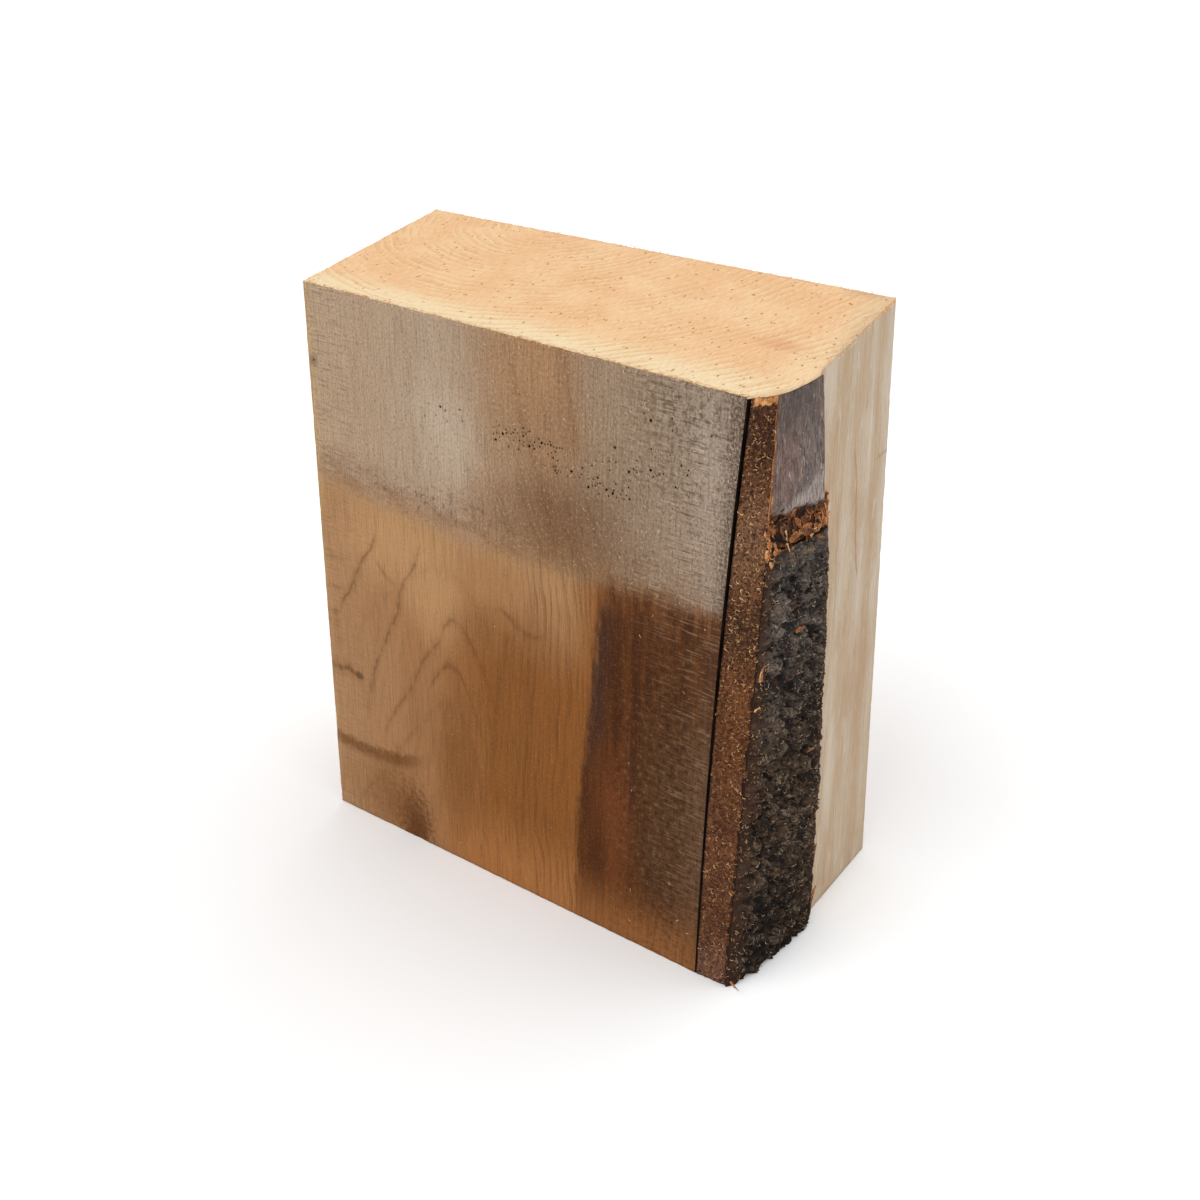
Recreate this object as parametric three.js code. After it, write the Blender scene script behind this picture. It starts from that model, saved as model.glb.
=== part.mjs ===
// Cherry wood block: a thick sawn block of cherry that keeps its bark on one upright corner.
// Three layers lie on each other there, as on the trunk: the wood, the brown inner bark whose
// outer skin is smooth and purple grey, and the black scaly outer bark, which has broken away
// from the upper fifth. Millimetres, +Z up, seen from the front with +X to the right and +Y going
// back. The block stands on its sawn foot, centred on the origin.
import * as THREE from 'three';

// The sawn block. Its saw cuts are not quite square, so each upright corner has a place at the
// foot and one at the top, counted from the front left corner of the foot.
const HEIGHT = 300;
const FOOT = { frontLeft: [0, 0], frontRight: [255, 0], backRight: [260, 127], backLeft: [-8, 125] };
const TOP = { frontLeft: [10, 7], frontRight: [255, 2], backRight: [245, 122.5], backLeft: [-5, 118] };
const TOP_SLOPE = 0.036; // the top cut climbs this much for each millimetre of depth

// Where the bark begins, measured from the virtual front right corner.
const CRACK_AT_FOOT = 24.5; // along the front face to the crack between wood and bark
const CRACK_NARROWS = 9; // how much nearer the corner the crack is at the top
const BARK_END_AT_FOOT = 66; // along the right face to the last of the bark
const BARK_END_TAPER = 6.5; // even narrowing from foot to top
const BARK_END_FLARE = 24; // extra narrowing near the top
const CRACK_WIDTH_AT_FOOT = 0.9; // open shrinkage crack at the front
const CRACK_WIDTH_AT_TOP = 2.9;
const LAYER_GAP = 0.35; // hairline between layers everywhere else

// The sawn edge of the bark, seen from the front as a brown strip: its reach from the crack.
const STRIP_AT_FOOT = [17, 1];
const STRIP_AT_TOP = [8, 9];

// Control points that bend the wood's rounded corner and the bark's outside.
const WANE_BEND_FOOT = [17, 30]; // from the crack
const WANE_BEND_TOP = [2.5, 9.6];
const SKIN_BEND_FOOT = [2, 35]; // from the virtual front right corner
const SKIN_BEND_TOP = [-3.5, 18.4];
const SKIN_PROUD = 1.2; // the smooth skin ends this far outside the right face
const SKIN_SHORT = 0.4; // and this far in front of the last of the wood's rounded corner

// The outer bark. Its face and its bed are measured from the line of the smooth skin.
const CRUST_PROUD = 2.4; // mean height of its face
const CRUST_EDGE = 1.4; // the same at its sawn front edge
const CRUST_SUNK = 2.2; // depth of its bed
const EDGE_SHARE = 0.1; // share of its width over which the edge swells to the full crust
const INNER_BARK_MIN = 0.9; // thinnest inner bark under it
const TORN_RIM_FRONT = 233; // height of its torn upper rim beside the strip
const TORN_RIM_BACK = 227; // and at the right face
const TORN_RIM_WANDER = 3.2;
const SKIN_EDGE_FRONT = 251; // height where the smooth skin breaks off beside the strip
const SKIN_EDGE_BACK = 242;
const SKIN_EDGE_WANDER = 1.6;
const SKIN_EDGE_STEP = 2.5; // height over which the skin steps down to the torn ledge

// Its relief: plates parted by furrows.
const PLATE_WIDTH = 12;
const PLATE_HEIGHT = 17;
const PLATE_CROOKED = 0.35; // how far soft noise pushes the plates' outlines, in plates
const PLATE_SCATTER = 0.7; // how freely the plates' centres are strewn in their grid
const FURROW_DEPTH = 2.6;
const FURROW_BANK = 0.2; // width of a furrow's bank, in plates
const FURROW_FLOOR = -2.1; // bottom of a furrow below the crust's mean face
const DEEPEST = -1.2; // no furrow cuts deeper than this, so that the crust holds together
const PLATE_LIFT = 1.5; // how much one plate stands above or below the next
const ROUGHNESS = 0.5;
const GRAIN_OF_ROUGHNESS = [2.6, 3.4];

const COLOURS = {
  wood: { color: 0xa9794d, roughness: 0.82 },
  innerBark: { color: 0x6b4631, roughness: 0.85 },
  outerBark: { color: 0x3a322d, roughness: 0.95 },
};

// Small helpers on points of the plan, written [x, y].
const mix = (a, b, t) => a + (b - a) * t;
const mixPoint = (a, b, t) => [mix(a[0], b[0], t), mix(a[1], b[1], t)];
const add = (a, b, k = 1) => [a[0] + b[0] * k, a[1] + b[1] * k];
const minus = (a, b) => [a[0] - b[0], a[1] - b[1]];
const unit = (a) => [a[0] / Math.hypot(...a), a[1] / Math.hypot(...a)];
const bend = (a, b, c, u) => mixPoint(mixPoint(a, b, u), mixPoint(b, c, u), u);
const smooth = (from, to, x) => THREE.MathUtils.smoothstep(x, from, to);
const steps = (n, from = 0, to = 1) => Array.from({ length: n + 1 }, (_, i) => mix(from, to, i / n));

// A fixed pseudo random number for a cell of a grid, and soft noise made from it.
function chance(i, j, seed) {
  const s = Math.sin(i * 127.1 + j * 311.7 + seed * 74.7) * 43758.5453;
  return s - Math.floor(s);
}

function softNoise(x, y, seed) {
  const [i, j] = [Math.floor(x), Math.floor(y)];
  const [u, v] = [smooth(0, 1, x - i), smooth(0, 1, y - j)];
  const low = mix(chance(i, j, seed), chance(i + 1, j, seed), u);
  const high = mix(chance(i, j + 1, seed), chance(i + 1, j + 1, seed), u);
  return mix(low, high, v) * 2 - 1;
}

// The four sawn sides at one height, t running from 0 at the foot to 1 at the top.
function corner(name, t) {
  return mixPoint(FOOT[name], TOP[name], t);
}

function crackPoint(t) {
  const right = corner('frontRight', t);
  const along = unit(minus(corner('frontLeft', t), right));
  return add(right, along, CRACK_AT_FOOT - CRACK_NARROWS * t ** 2.2);
}

function barkEnd(t) {
  const right = corner('frontRight', t);
  const along = unit(minus(corner('backRight', t), right));
  return add(right, along, BARK_END_AT_FOOT - BARK_END_TAPER * t - BARK_END_FLARE * t ** 2.7);
}

function stripEdge(t) {
  const reach = [
    STRIP_AT_FOOT[0] + (STRIP_AT_TOP[0] - STRIP_AT_FOOT[0]) * t ** 3,
    STRIP_AT_FOOT[1] + (STRIP_AT_TOP[1] - STRIP_AT_FOOT[1]) * t ** 1.3,
  ];
  return add(crackPoint(t), reach);
}

// The wood's rounded corner, u running from the crack to the right face.
function wane(t, u) {
  const control = add(crackPoint(t), mixPoint(WANE_BEND_FOOT, WANE_BEND_TOP, t));
  return bend(crackPoint(t), control, barkEnd(t), u);
}

// The line of the smooth skin, over which the outer bark also lies.
function skin(t, u) {
  const control = add(corner('frontRight', t), mixPoint(SKIN_BEND_FOOT, SKIN_BEND_TOP, t * t));
  return bend(stripEdge(t), control, add(barkEnd(t), [SKIN_PROUD, -SKIN_SHORT]), u);
}

// A point of the bark at depth d outside the wood, measured towards the skin.
function barkPoint(t, u, depth) {
  const from = wane(t, u);
  const way = minus(skin(t, u), from);
  return add(from, unit(way), depth(Math.hypot(...way)));
}

const wander = (u, seed) => softNoise(u * 6, 0.5, seed);
const rimHeight = (u) => mix(TORN_RIM_FRONT, TORN_RIM_BACK, u ** 1.4) + TORN_RIM_WANDER * wander(u, 5);
const skinEdge = (u) => mix(SKIN_EDGE_FRONT, SKIN_EDGE_BACK, u) + SKIN_EDGE_WANDER * wander(u, 9);
const underCrust = (t, u) => 1 - smooth(skinEdge(u) - SKIN_EDGE_STEP, skinEdge(u), t * HEIGHT);
const edgeFade = (u) => Math.min(1, u / EDGE_SHARE);
const crackWidth = (t) => mix(CRACK_WIDTH_AT_FOOT, CRACK_WIDTH_AT_TOP, t ** 0.7);
const hairline = (t, u) => LAYER_GAP + (crackWidth(t) - LAYER_GAP) * (1 - u) ** 8;

function innerBarkTop(t, u) {
  return (full) => {
    const sunk = full - CRUST_SUNK * edgeFade(u) * underCrust(t, u);
    return Math.max(sunk, hairline(t, u) + INNER_BARK_MIN);
  };
}

// Relief of the outer bark: long plates parted by furrows, from the distance to the two nearest
// of a jittered grid of plate centres. The outline of each plate is made crooked by soft noise.
function barkRelief(across, up) {
  const x = across / PLATE_WIDTH + PLATE_CROOKED * softNoise(across / PLATE_WIDTH, up / PLATE_HEIGHT, 1);
  const y = up / PLATE_HEIGHT + PLATE_CROOKED * softNoise(across / PLATE_WIDTH, up / PLATE_HEIGHT, 2);
  const strewn = (cell, draw) => cell + 0.5 + PLATE_SCATTER * (draw - 0.5);
  let nearest = 9;
  let second = 9;
  let lift = 0;
  for (let i = Math.floor(x) - 1; i <= Math.floor(x) + 1; i += 1) {
    for (let j = Math.floor(y) - 1; j <= Math.floor(y) + 1; j += 1) {
      const away = Math.hypot(strewn(i, chance(i, j, 3)) - x, strewn(j, chance(i, j, 4)) - y);
      if (away < nearest) {
        second = nearest;
        nearest = away;
        lift = chance(i, j, 6) - 0.5;
      } else {
        second = Math.min(second, away);
      }
    }
  }
  const bank = smooth(0, FURROW_BANK, second - nearest);
  const [wide, tall] = GRAIN_OF_ROUGHNESS;
  const rough = ROUGHNESS * softNoise(across / wide, up / tall, 7);
  return Math.max(DEEPEST, bank * (FURROW_DEPTH + PLATE_LIFT * lift) + FURROW_FLOOR + rough);
}

// A closed solid from rings of plan points, one ring for each level, all with as many points and
// counterclockwise seen from above. A point is [x, y, z].
function solidFromRings(rings) {
  const count = rings[0].length;
  const positions = rings.flat(2);
  const faces = [];
  for (let level = 0; level + 1 < rings.length; level += 1) {
    for (let i = 0; i < count; i += 1) {
      const [a, b] = [level * count + i, level * count + ((i + 1) % count)];
      faces.push(a, b, b + count, a, b + count, a + count);
    }
  }
  const cap = (ring) => THREE.ShapeUtils.triangulateShape(ring.map(([x, y]) => new THREE.Vector2(x, y)), []);
  const last = (rings.length - 1) * count;
  cap(rings[0]).forEach(([a, b, c]) => faces.push(c, b, a));
  cap(rings.at(-1)).forEach(([a, b, c]) => faces.push(last + a, last + b, last + c));
  const geometry = new THREE.BufferGeometry();
  geometry.setAttribute('position', new THREE.Float32BufferAttribute(positions, 3));
  geometry.setIndex(faces);
  geometry.computeVertexNormals();
  return geometry;
}

const topHeight = (point) => HEIGHT + TOP_SLOPE * point[1];
const atLevel = (point, t) => [point[0], point[1], t * topHeight(point)];
const straight = (a, b, count) => steps(count).slice(0, -1).map((k) => mixPoint(a, b, k));

// The wood: four sawn sides and the rounded corner where the bark sits.
function woodGeometry() {
  const ringAt = (t) => {
    const outline = [
      ...straight(corner('frontLeft', t), crackPoint(t), 10),
      ...steps(14).slice(0, -1).map((u) => wane(t, u)),
      ...straight(barkEnd(t), corner('backRight', t), 4),
      ...straight(corner('backRight', t), corner('backLeft', t), 9),
      ...straight(corner('backLeft', t), corner('frontLeft', t), 5),
    ];
    return outline.map((point) => atLevel(point, t));
  };
  return solidFromRings(steps(20).map(ringAt));
}

// The inner bark: the brown strip at the front, the torn ledge and the smooth skin above it.
function innerBarkGeometry() {
  const levels = [...steps(8, 0, 0.7), ...steps(24, 0.715, 0.865), ...steps(6, 0.88, 1)];
  const ringAt = (t) => {
    const front = add(crackPoint(t), unit(minus(stripEdge(t), crackPoint(t))), crackWidth(t));
    const strip = straight(front, barkPoint(t, 0, innerBarkTop(t, 0)), 4);
    const outside = steps(20).map((u) => barkPoint(t, u, innerBarkTop(t, u)));
    const inside = steps(13, 1, 1 / 14).map((u) => barkPoint(t, u, () => hairline(t, u)));
    return [...strip, ...outside, ...inside].map((point) => atLevel(point, t));
  };
  return solidFromRings(levels.map(ringAt));
}

// The outer bark: the black crust from the foot to its torn rim.
function outerBarkGeometry() {
  const ringAt = (share) => {
    const place = (u, depth) => {
      const z = share * rimHeight(u);
      return [...barkPoint(z / HEIGHT, u, depth), z];
    };
    const face = (u) => {
      const swell = mix(CRUST_EDGE, CRUST_PROUD, edgeFade(u));
      const relief = barkRelief(u * BARK_END_AT_FOOT, share * rimHeight(u));
      return place(u, (full) => full + LAYER_GAP + swell + relief * edgeFade(u));
    };
    const bed = (u) => place(u, (full) => innerBarkTop(0, u)(full) + LAYER_GAP);
    return [...steps(30).map(face), ...steps(7, 1, 0).map(bed)];
  };
  return solidFromRings(steps(80).map(ringAt));
}

function piece(name, geometry, look) {
  const mesh = new THREE.Mesh(geometry, new THREE.MeshStandardMaterial({ ...look, metalness: 0 }));
  mesh.name = name;
  return mesh;
}

const block = new THREE.Group();
block.add(piece('wood_block', woodGeometry(), COLOURS.wood));
block.add(piece('inner_bark', innerBarkGeometry(), COLOURS.innerBark));
block.add(piece('outer_bark', outerBarkGeometry(), COLOURS.outerBark));

// Stands centred on the origin, on its sawn foot.
const box = new THREE.Box3().setFromObject(block);
const middle = box.getCenter(new THREE.Vector3());
block.position.set(-middle.x, -middle.y, -box.min.z);

export default block;
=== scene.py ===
# %% [markdown]
# # A block of cherry wood with its bark
# The object is one thick piece sawn out of a cherry trunk. It stands on end. The front is weathered
# grey above and warm brown below, the top is a fresh pale saw cut, and one upright corner still has
# its bark: a brown sawn strip, a smooth purple grey skin near the top and a black scaly crust below.
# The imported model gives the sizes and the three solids. This lesson makes a finer piece for each of
# them, and then the small things that lie on them. Lengths in the code are millimetres of the block,
# counted from its front left foot corner, and `to_frame` turns them into metres of the model.
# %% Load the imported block
import math
import random

import bpy
import numpy as np
from mathutils import Matrix, Vector
from mathutils.geometry import delaunay_2d_cdt


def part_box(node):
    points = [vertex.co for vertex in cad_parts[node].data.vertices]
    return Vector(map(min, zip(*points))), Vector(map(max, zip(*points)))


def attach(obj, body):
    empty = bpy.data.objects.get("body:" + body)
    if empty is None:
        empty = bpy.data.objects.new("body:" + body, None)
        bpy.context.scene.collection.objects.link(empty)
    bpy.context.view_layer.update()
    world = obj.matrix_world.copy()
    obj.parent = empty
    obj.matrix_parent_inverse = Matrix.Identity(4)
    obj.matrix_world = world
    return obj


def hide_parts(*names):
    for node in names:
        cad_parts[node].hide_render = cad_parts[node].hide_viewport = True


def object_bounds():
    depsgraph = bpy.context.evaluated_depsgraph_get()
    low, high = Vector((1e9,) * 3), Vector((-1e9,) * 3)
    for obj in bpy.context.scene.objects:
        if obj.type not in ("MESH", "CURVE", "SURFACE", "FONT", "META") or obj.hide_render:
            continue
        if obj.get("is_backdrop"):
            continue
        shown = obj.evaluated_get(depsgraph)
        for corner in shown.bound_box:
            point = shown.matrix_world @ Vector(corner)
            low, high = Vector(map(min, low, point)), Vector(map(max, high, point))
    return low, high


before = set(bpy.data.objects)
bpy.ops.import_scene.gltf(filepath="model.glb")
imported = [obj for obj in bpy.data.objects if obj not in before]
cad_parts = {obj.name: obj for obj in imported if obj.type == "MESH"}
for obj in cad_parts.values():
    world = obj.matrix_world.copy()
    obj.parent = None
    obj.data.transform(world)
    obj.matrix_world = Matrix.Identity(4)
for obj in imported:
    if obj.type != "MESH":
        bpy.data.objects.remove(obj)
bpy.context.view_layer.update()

wood_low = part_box("wood_block")[0]
BACK_LEFT_REACH = 8.0
FRONT_WIDTH = 255.0
SHIFT = np.array([wood_low.x * 1000 + BACK_LEFT_REACH, wood_low.y * 1000, wood_low.z * 1000])


def to_frame(points):
    return (np.asarray(points, float) + SHIFT) / 1000


# %% [markdown]
# ## Camera, floor and light
# The camera was found by fitting it to the corners of the block in the photograph: it looks down at
# about 31 degrees from the front right. An object like this is usually shot on a white sweep under
# large soft boxes, so the floor is one big pale sheet, and the light comes from a bright surrounding
# and from two broad windows. A sun lamp with a wide angle acts as such a window: its light is as
# even over the floor as over the block, and its shadows are faint and wide.
# %% Camera
AZIMUTH = math.radians(34.12)
ELEVATION = math.radians(31.49)
ROLL = math.radians(-0.10)
FOCAL_PIXELS = 1367.2
IMAGE_SIDE = 1200
SENSOR = 36.0
CAMERA_PLACE = (455.9, -413.6, 498.3)

camera_data = bpy.data.cameras.new("camera")
camera_data.sensor_width = SENSOR
camera_data.lens = SENSOR * FOCAL_PIXELS / IMAGE_SIDE
camera_data.clip_start = 0.01
camera_data.clip_end = 100
camera = bpy.data.objects.new("camera", camera_data)
bpy.context.scene.collection.objects.link(camera)

looking = Vector((-math.sin(AZIMUTH) * math.cos(ELEVATION), math.cos(AZIMUTH) * math.cos(ELEVATION),
                  -math.sin(ELEVATION)))
level = Vector((math.cos(AZIMUTH), math.sin(AZIMUTH), 0))
over = level.cross(looking)
right_hand = level * math.cos(ROLL) + over * math.sin(ROLL)
upward = over * math.cos(ROLL) - level * math.sin(ROLL)
turn = Matrix((right_hand, upward, -looking)).transposed()
camera.matrix_world = Matrix.Translation(Vector(to_frame(CAMERA_PLACE))) @ turn.to_4x4()
bpy.context.scene.camera = camera
print("lens", round(camera_data.lens, 2), "mm")

# %% Floor and lights
bpy.context.scene.view_settings.view_transform = "Standard"
floor_sheet = bpy.data.materials.new("floor_sheet")
floor_sheet.use_nodes = True
floor_sheet.node_tree.nodes["Principled BSDF"].inputs["Base Color"].default_value = (0.93, 0.93, 0.93, 1)
floor_sheet.node_tree.nodes["Principled BSDF"].inputs["Roughness"].default_value = 0.9

FLOOR_HALF, FLOOR_DROP = 12.0, 0.0004
floor_mesh = bpy.data.meshes.new("floor")
floor_mesh.from_pydata([(x * FLOOR_HALF, y * FLOOR_HALF, -FLOOR_DROP)
                        for x, y in ((-1, -1), (1, -1), (1, 1), (-1, 1))], [], [(0, 1, 2, 3)])
floor_mesh.materials.append(floor_sheet)
floor = bpy.data.objects.new("floor", floor_mesh)
bpy.context.scene.collection.objects.link(floor)
floor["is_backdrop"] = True

world = bpy.data.worlds.new("studio")
world.use_nodes = True
background = world.node_tree.nodes["Background"]
background.inputs["Color"].default_value = (1, 1, 1, 1)
background.inputs["Strength"].default_value = 0.68
bpy.context.scene.world = world


def soft_sun(name, towards, spread, strength):
    """Even soft light from one side of the sky. `towards` points from the block to the light."""
    data = bpy.data.lights.new(name, "SUN")
    data.angle = math.radians(spread)
    data.energy = strength
    lamp = bpy.data.objects.new(name, data)
    bpy.context.scene.collection.objects.link(lamp)
    lamp.rotation_mode = "QUATERNION"
    lamp.rotation_quaternion = Vector(towards).to_track_quat("Z", "Y")
    print("light", name, strength)


soft_sun("back_right_window", (0.45, 0.55, 0.9), 70, 1.18)
soft_sun("front_left_window", (-0.35, -0.75, 1.0), 45, 1.30)

# %% [markdown]
# ## The plan of the block
# The saw cuts of the real block are a degree or two out of square, so each upright corner has a place
# at the foot and another at the top. Around the bark corner two curves lie in each other: the rounded
# outside of the wood (the wane) and the line of the smooth inner skin. The crust is measured from the
# skin later. They follow the curves of the solids, written for whole arrays, so that every finer piece
# sits where its solid is. `t` runs from 0 at the foot to 1 at the top, `u` from the crack to the right.
# %% Plan curves
HEIGHT = 300.0
TOP_SLOPE = 0.036
BARK_END_AT_FOOT, BARK_END_TAPER, BARK_END_FLARE = 66.0, 6.5, 24.0
BARK_AROUND = 72.0
FOOT = {"front_left": (0, 0), "front_right": (255, 0), "back_right": (260, 127), "back_left": (-8, 125)}
TOP = {"front_left": (10, 7), "front_right": (255, 2), "back_right": (245, 122.5), "back_left": (-5, 118)}


def array(*values):
    return np.broadcast_arrays(*[np.asarray(v, float) for v in values])


def mix(a, b, t):
    t = np.asarray(t, float)[..., None]
    return np.asarray(a, float) * (1 - t) + np.asarray(b, float) * t


def unit(v):
    return v / np.linalg.norm(v, axis=-1, keepdims=True)


def smooth(low, high, x):
    s = np.clip((np.asarray(x, float) - low) / (high - low), 0, 1)
    return s * s * (3 - 2 * s)


def bend(a, b, c, u):
    return mix(mix(a, b, u), mix(b, c, u), u)


def corner(name, t):
    return mix(FOOT[name], TOP[name], t)


def crack_point(t):
    right = corner("front_right", t)
    reach = 24.5 - 9 * np.asarray(t, float) ** 2.2
    return right + unit(corner("front_left", t) - right) * reach[..., None]


def bark_end(t):
    t = np.asarray(t, float)
    right = corner("front_right", t)
    reach = BARK_END_AT_FOOT - BARK_END_TAPER * t - BARK_END_FLARE * t ** 2.7
    return right + unit(corner("back_right", t) - right) * reach[..., None]


def strip_edge(t):
    t = np.asarray(t, float)
    reach = np.stack([17 - 9 * t ** 3, 1 + 8 * t ** 1.3], -1)
    return crack_point(t) + reach


def wane(t, u):
    t, u = array(t, u)
    start = crack_point(t)
    return bend(start, start + mix((17, 30), (2.5, 9.6), t), bark_end(t), u)


def skin(t, u):
    t, u = array(t, u)
    pull = corner("front_right", t) + mix((2, 35), (-3.5, 18.4), t * t)
    return bend(strip_edge(t), pull, bark_end(t) + np.array([1.2, -0.4]), u)


def at_level(plan, t):
    plan = np.asarray(plan, float)
    z = np.asarray(t, float) * (HEIGHT + TOP_SLOPE * plan[..., 1])
    return np.concatenate([plan, z[..., None]], -1)


print("crack at the top", crack_point(1.0).round(1), "bark end at the foot", bark_end(0.0).round(1))

# %% [markdown]
# ## Chance that comes out the same each time
# Bark and crumbled edges need unevenness of many sizes. Blender has noise functions, but on arrays a
# short formula is faster: each cell of a grid gets a fixed pseudo random number, and smooth steps
# between them make the noise. Layers of it, each half as wide and half as high, make it rough.
# %% Soft noise


def chance(i, j, seed):
    s = np.sin(i * 127.1 + j * 311.7 + seed * 74.7) * 43758.5453
    return s - np.floor(s)


def soft_noise(x, y, seed):
    x, y = array(x, y)
    i, j = np.floor(x), np.floor(y)
    u, v = smooth(0, 1, x - i), smooth(0, 1, y - j)
    low = chance(i, j, seed) * (1 - u) + chance(i + 1, j, seed) * u
    high = chance(i, j + 1, seed) * (1 - u) + chance(i + 1, j + 1, seed) * u
    return (low * (1 - v) + high * v) * 2 - 1


def layered_noise(x, y, seed, layers=4):
    total = 0
    for k in range(layers):
        total = total + soft_noise(x * 2 ** k, y * 2 ** k, seed + 17 * k) / 2 ** k
    return total


# %% [markdown]
# ## Building pieces
# A finished piece is one mesh whose place is in its vertices, with its object at the origin. The
# small helpers below make such an object from arrays, store numbers on its points for the materials
# to read, and tell the frame what it stands for.
# %% Piece helpers


def new_piece(name, points, faces, materials, looks=None):
    mesh = bpy.data.meshes.new(name)
    mesh.from_pydata(to_frame(points).tolist(), [], [tuple(int(i) for i in face) for face in faces])
    for material in materials:
        mesh.materials.append(material)
    if looks is not None:
        mesh.polygons.foreach_set("material_index", np.asarray(looks, np.int32))
    mesh.polygons.foreach_set("use_smooth", np.full(len(mesh.polygons), True))
    mesh.update()
    piece = bpy.data.objects.new(name, mesh)
    bpy.context.scene.collection.objects.link(piece)
    print(name, len(mesh.vertices), "points", sum(len(p.vertices) - 2 for p in mesh.polygons), "triangles")
    return piece


def store(piece, name, values):
    values = np.asarray(values, np.float32)
    kind, field = ("FLOAT", "value") if values.ndim == 1 else ("FLOAT_VECTOR", "vector")
    attribute = piece.data.attributes.new(name, kind, "POINT")
    attribute.data.foreach_set(field, values.ravel())


def belongs(piece, node=None):
    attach(piece, "root")
    if node:
        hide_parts(node)


# %% [markdown]
# ## A short way to write materials
# A material here is a picture painted by formulas. Each formula is a few nodes that read a place on
# the piece, so it has no pixels and stays sharp at any size. Writing out every node and link would
# bury the idea, so `Paint` wraps them: `noise`, `cells` and `curly` give grey patterns, `span` picks a
# part of one, `patch` and `stroke` give the masks of a stain or a line, and `lay` puts a colour on
# what is there already, as strongly as its mask says. Patterns are added and multiplied like numbers.
# %% Paint


def tone(red, green, blue, light=1.0):
    """A colour as read off a screen, 0 to 255, as linear light, divided by how strongly it is lit."""
    linear = []
    for value in (red, green, blue):
        c = value / 255
        c = c / 12.92 if c <= 0.04045 else ((c + 0.055) / 1.055) ** 2.4
        linear.append(min(0.98, c / light))
    return (*linear, 1.0)


class Pattern:
    """What comes out of a node. Sums and products of patterns make the Math nodes for them."""

    def __init__(self, paint, socket):
        self.paint = paint
        self.socket = socket

    def __add__(self, other):
        return self.paint.math("ADD", self, other)

    def __radd__(self, other):
        return self.paint.math("ADD", other, self)

    def __sub__(self, other):
        return self.paint.math("SUBTRACT", self, other)

    def __rsub__(self, other):
        return self.paint.math("SUBTRACT", other, self)

    def __mul__(self, other):
        return self.paint.math("MULTIPLY", self, other)

    def __truediv__(self, other):
        if isinstance(other, Pattern):
            return self.paint.math("DIVIDE", self, other)
        return self.paint.math("MULTIPLY", self, 1 / other)

    def __abs__(self):
        return self.paint.math("ABSOLUTE", self)

    def lay(self, colour, amount):
        """Lays a colour on this one, as strongly as the mask `amount` says at each place."""
        self.socket = self.paint.over(self, colour, amount).socket

    def shade(self, pattern, dark, pale):
        """Darkens where the pattern is high and lightens where it is low, keeping the hue."""
        low = self.paint.span(pattern, 0.5, 0.78, 0, dark)
        high = self.paint.span(pattern, 0.5, 0.22, 0, pale)
        self.socket = self.paint.made("ShaderNodeVectorMath", {0: self, "Scale": 1 - low + high},
                                      operation="SCALE").socket


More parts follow.
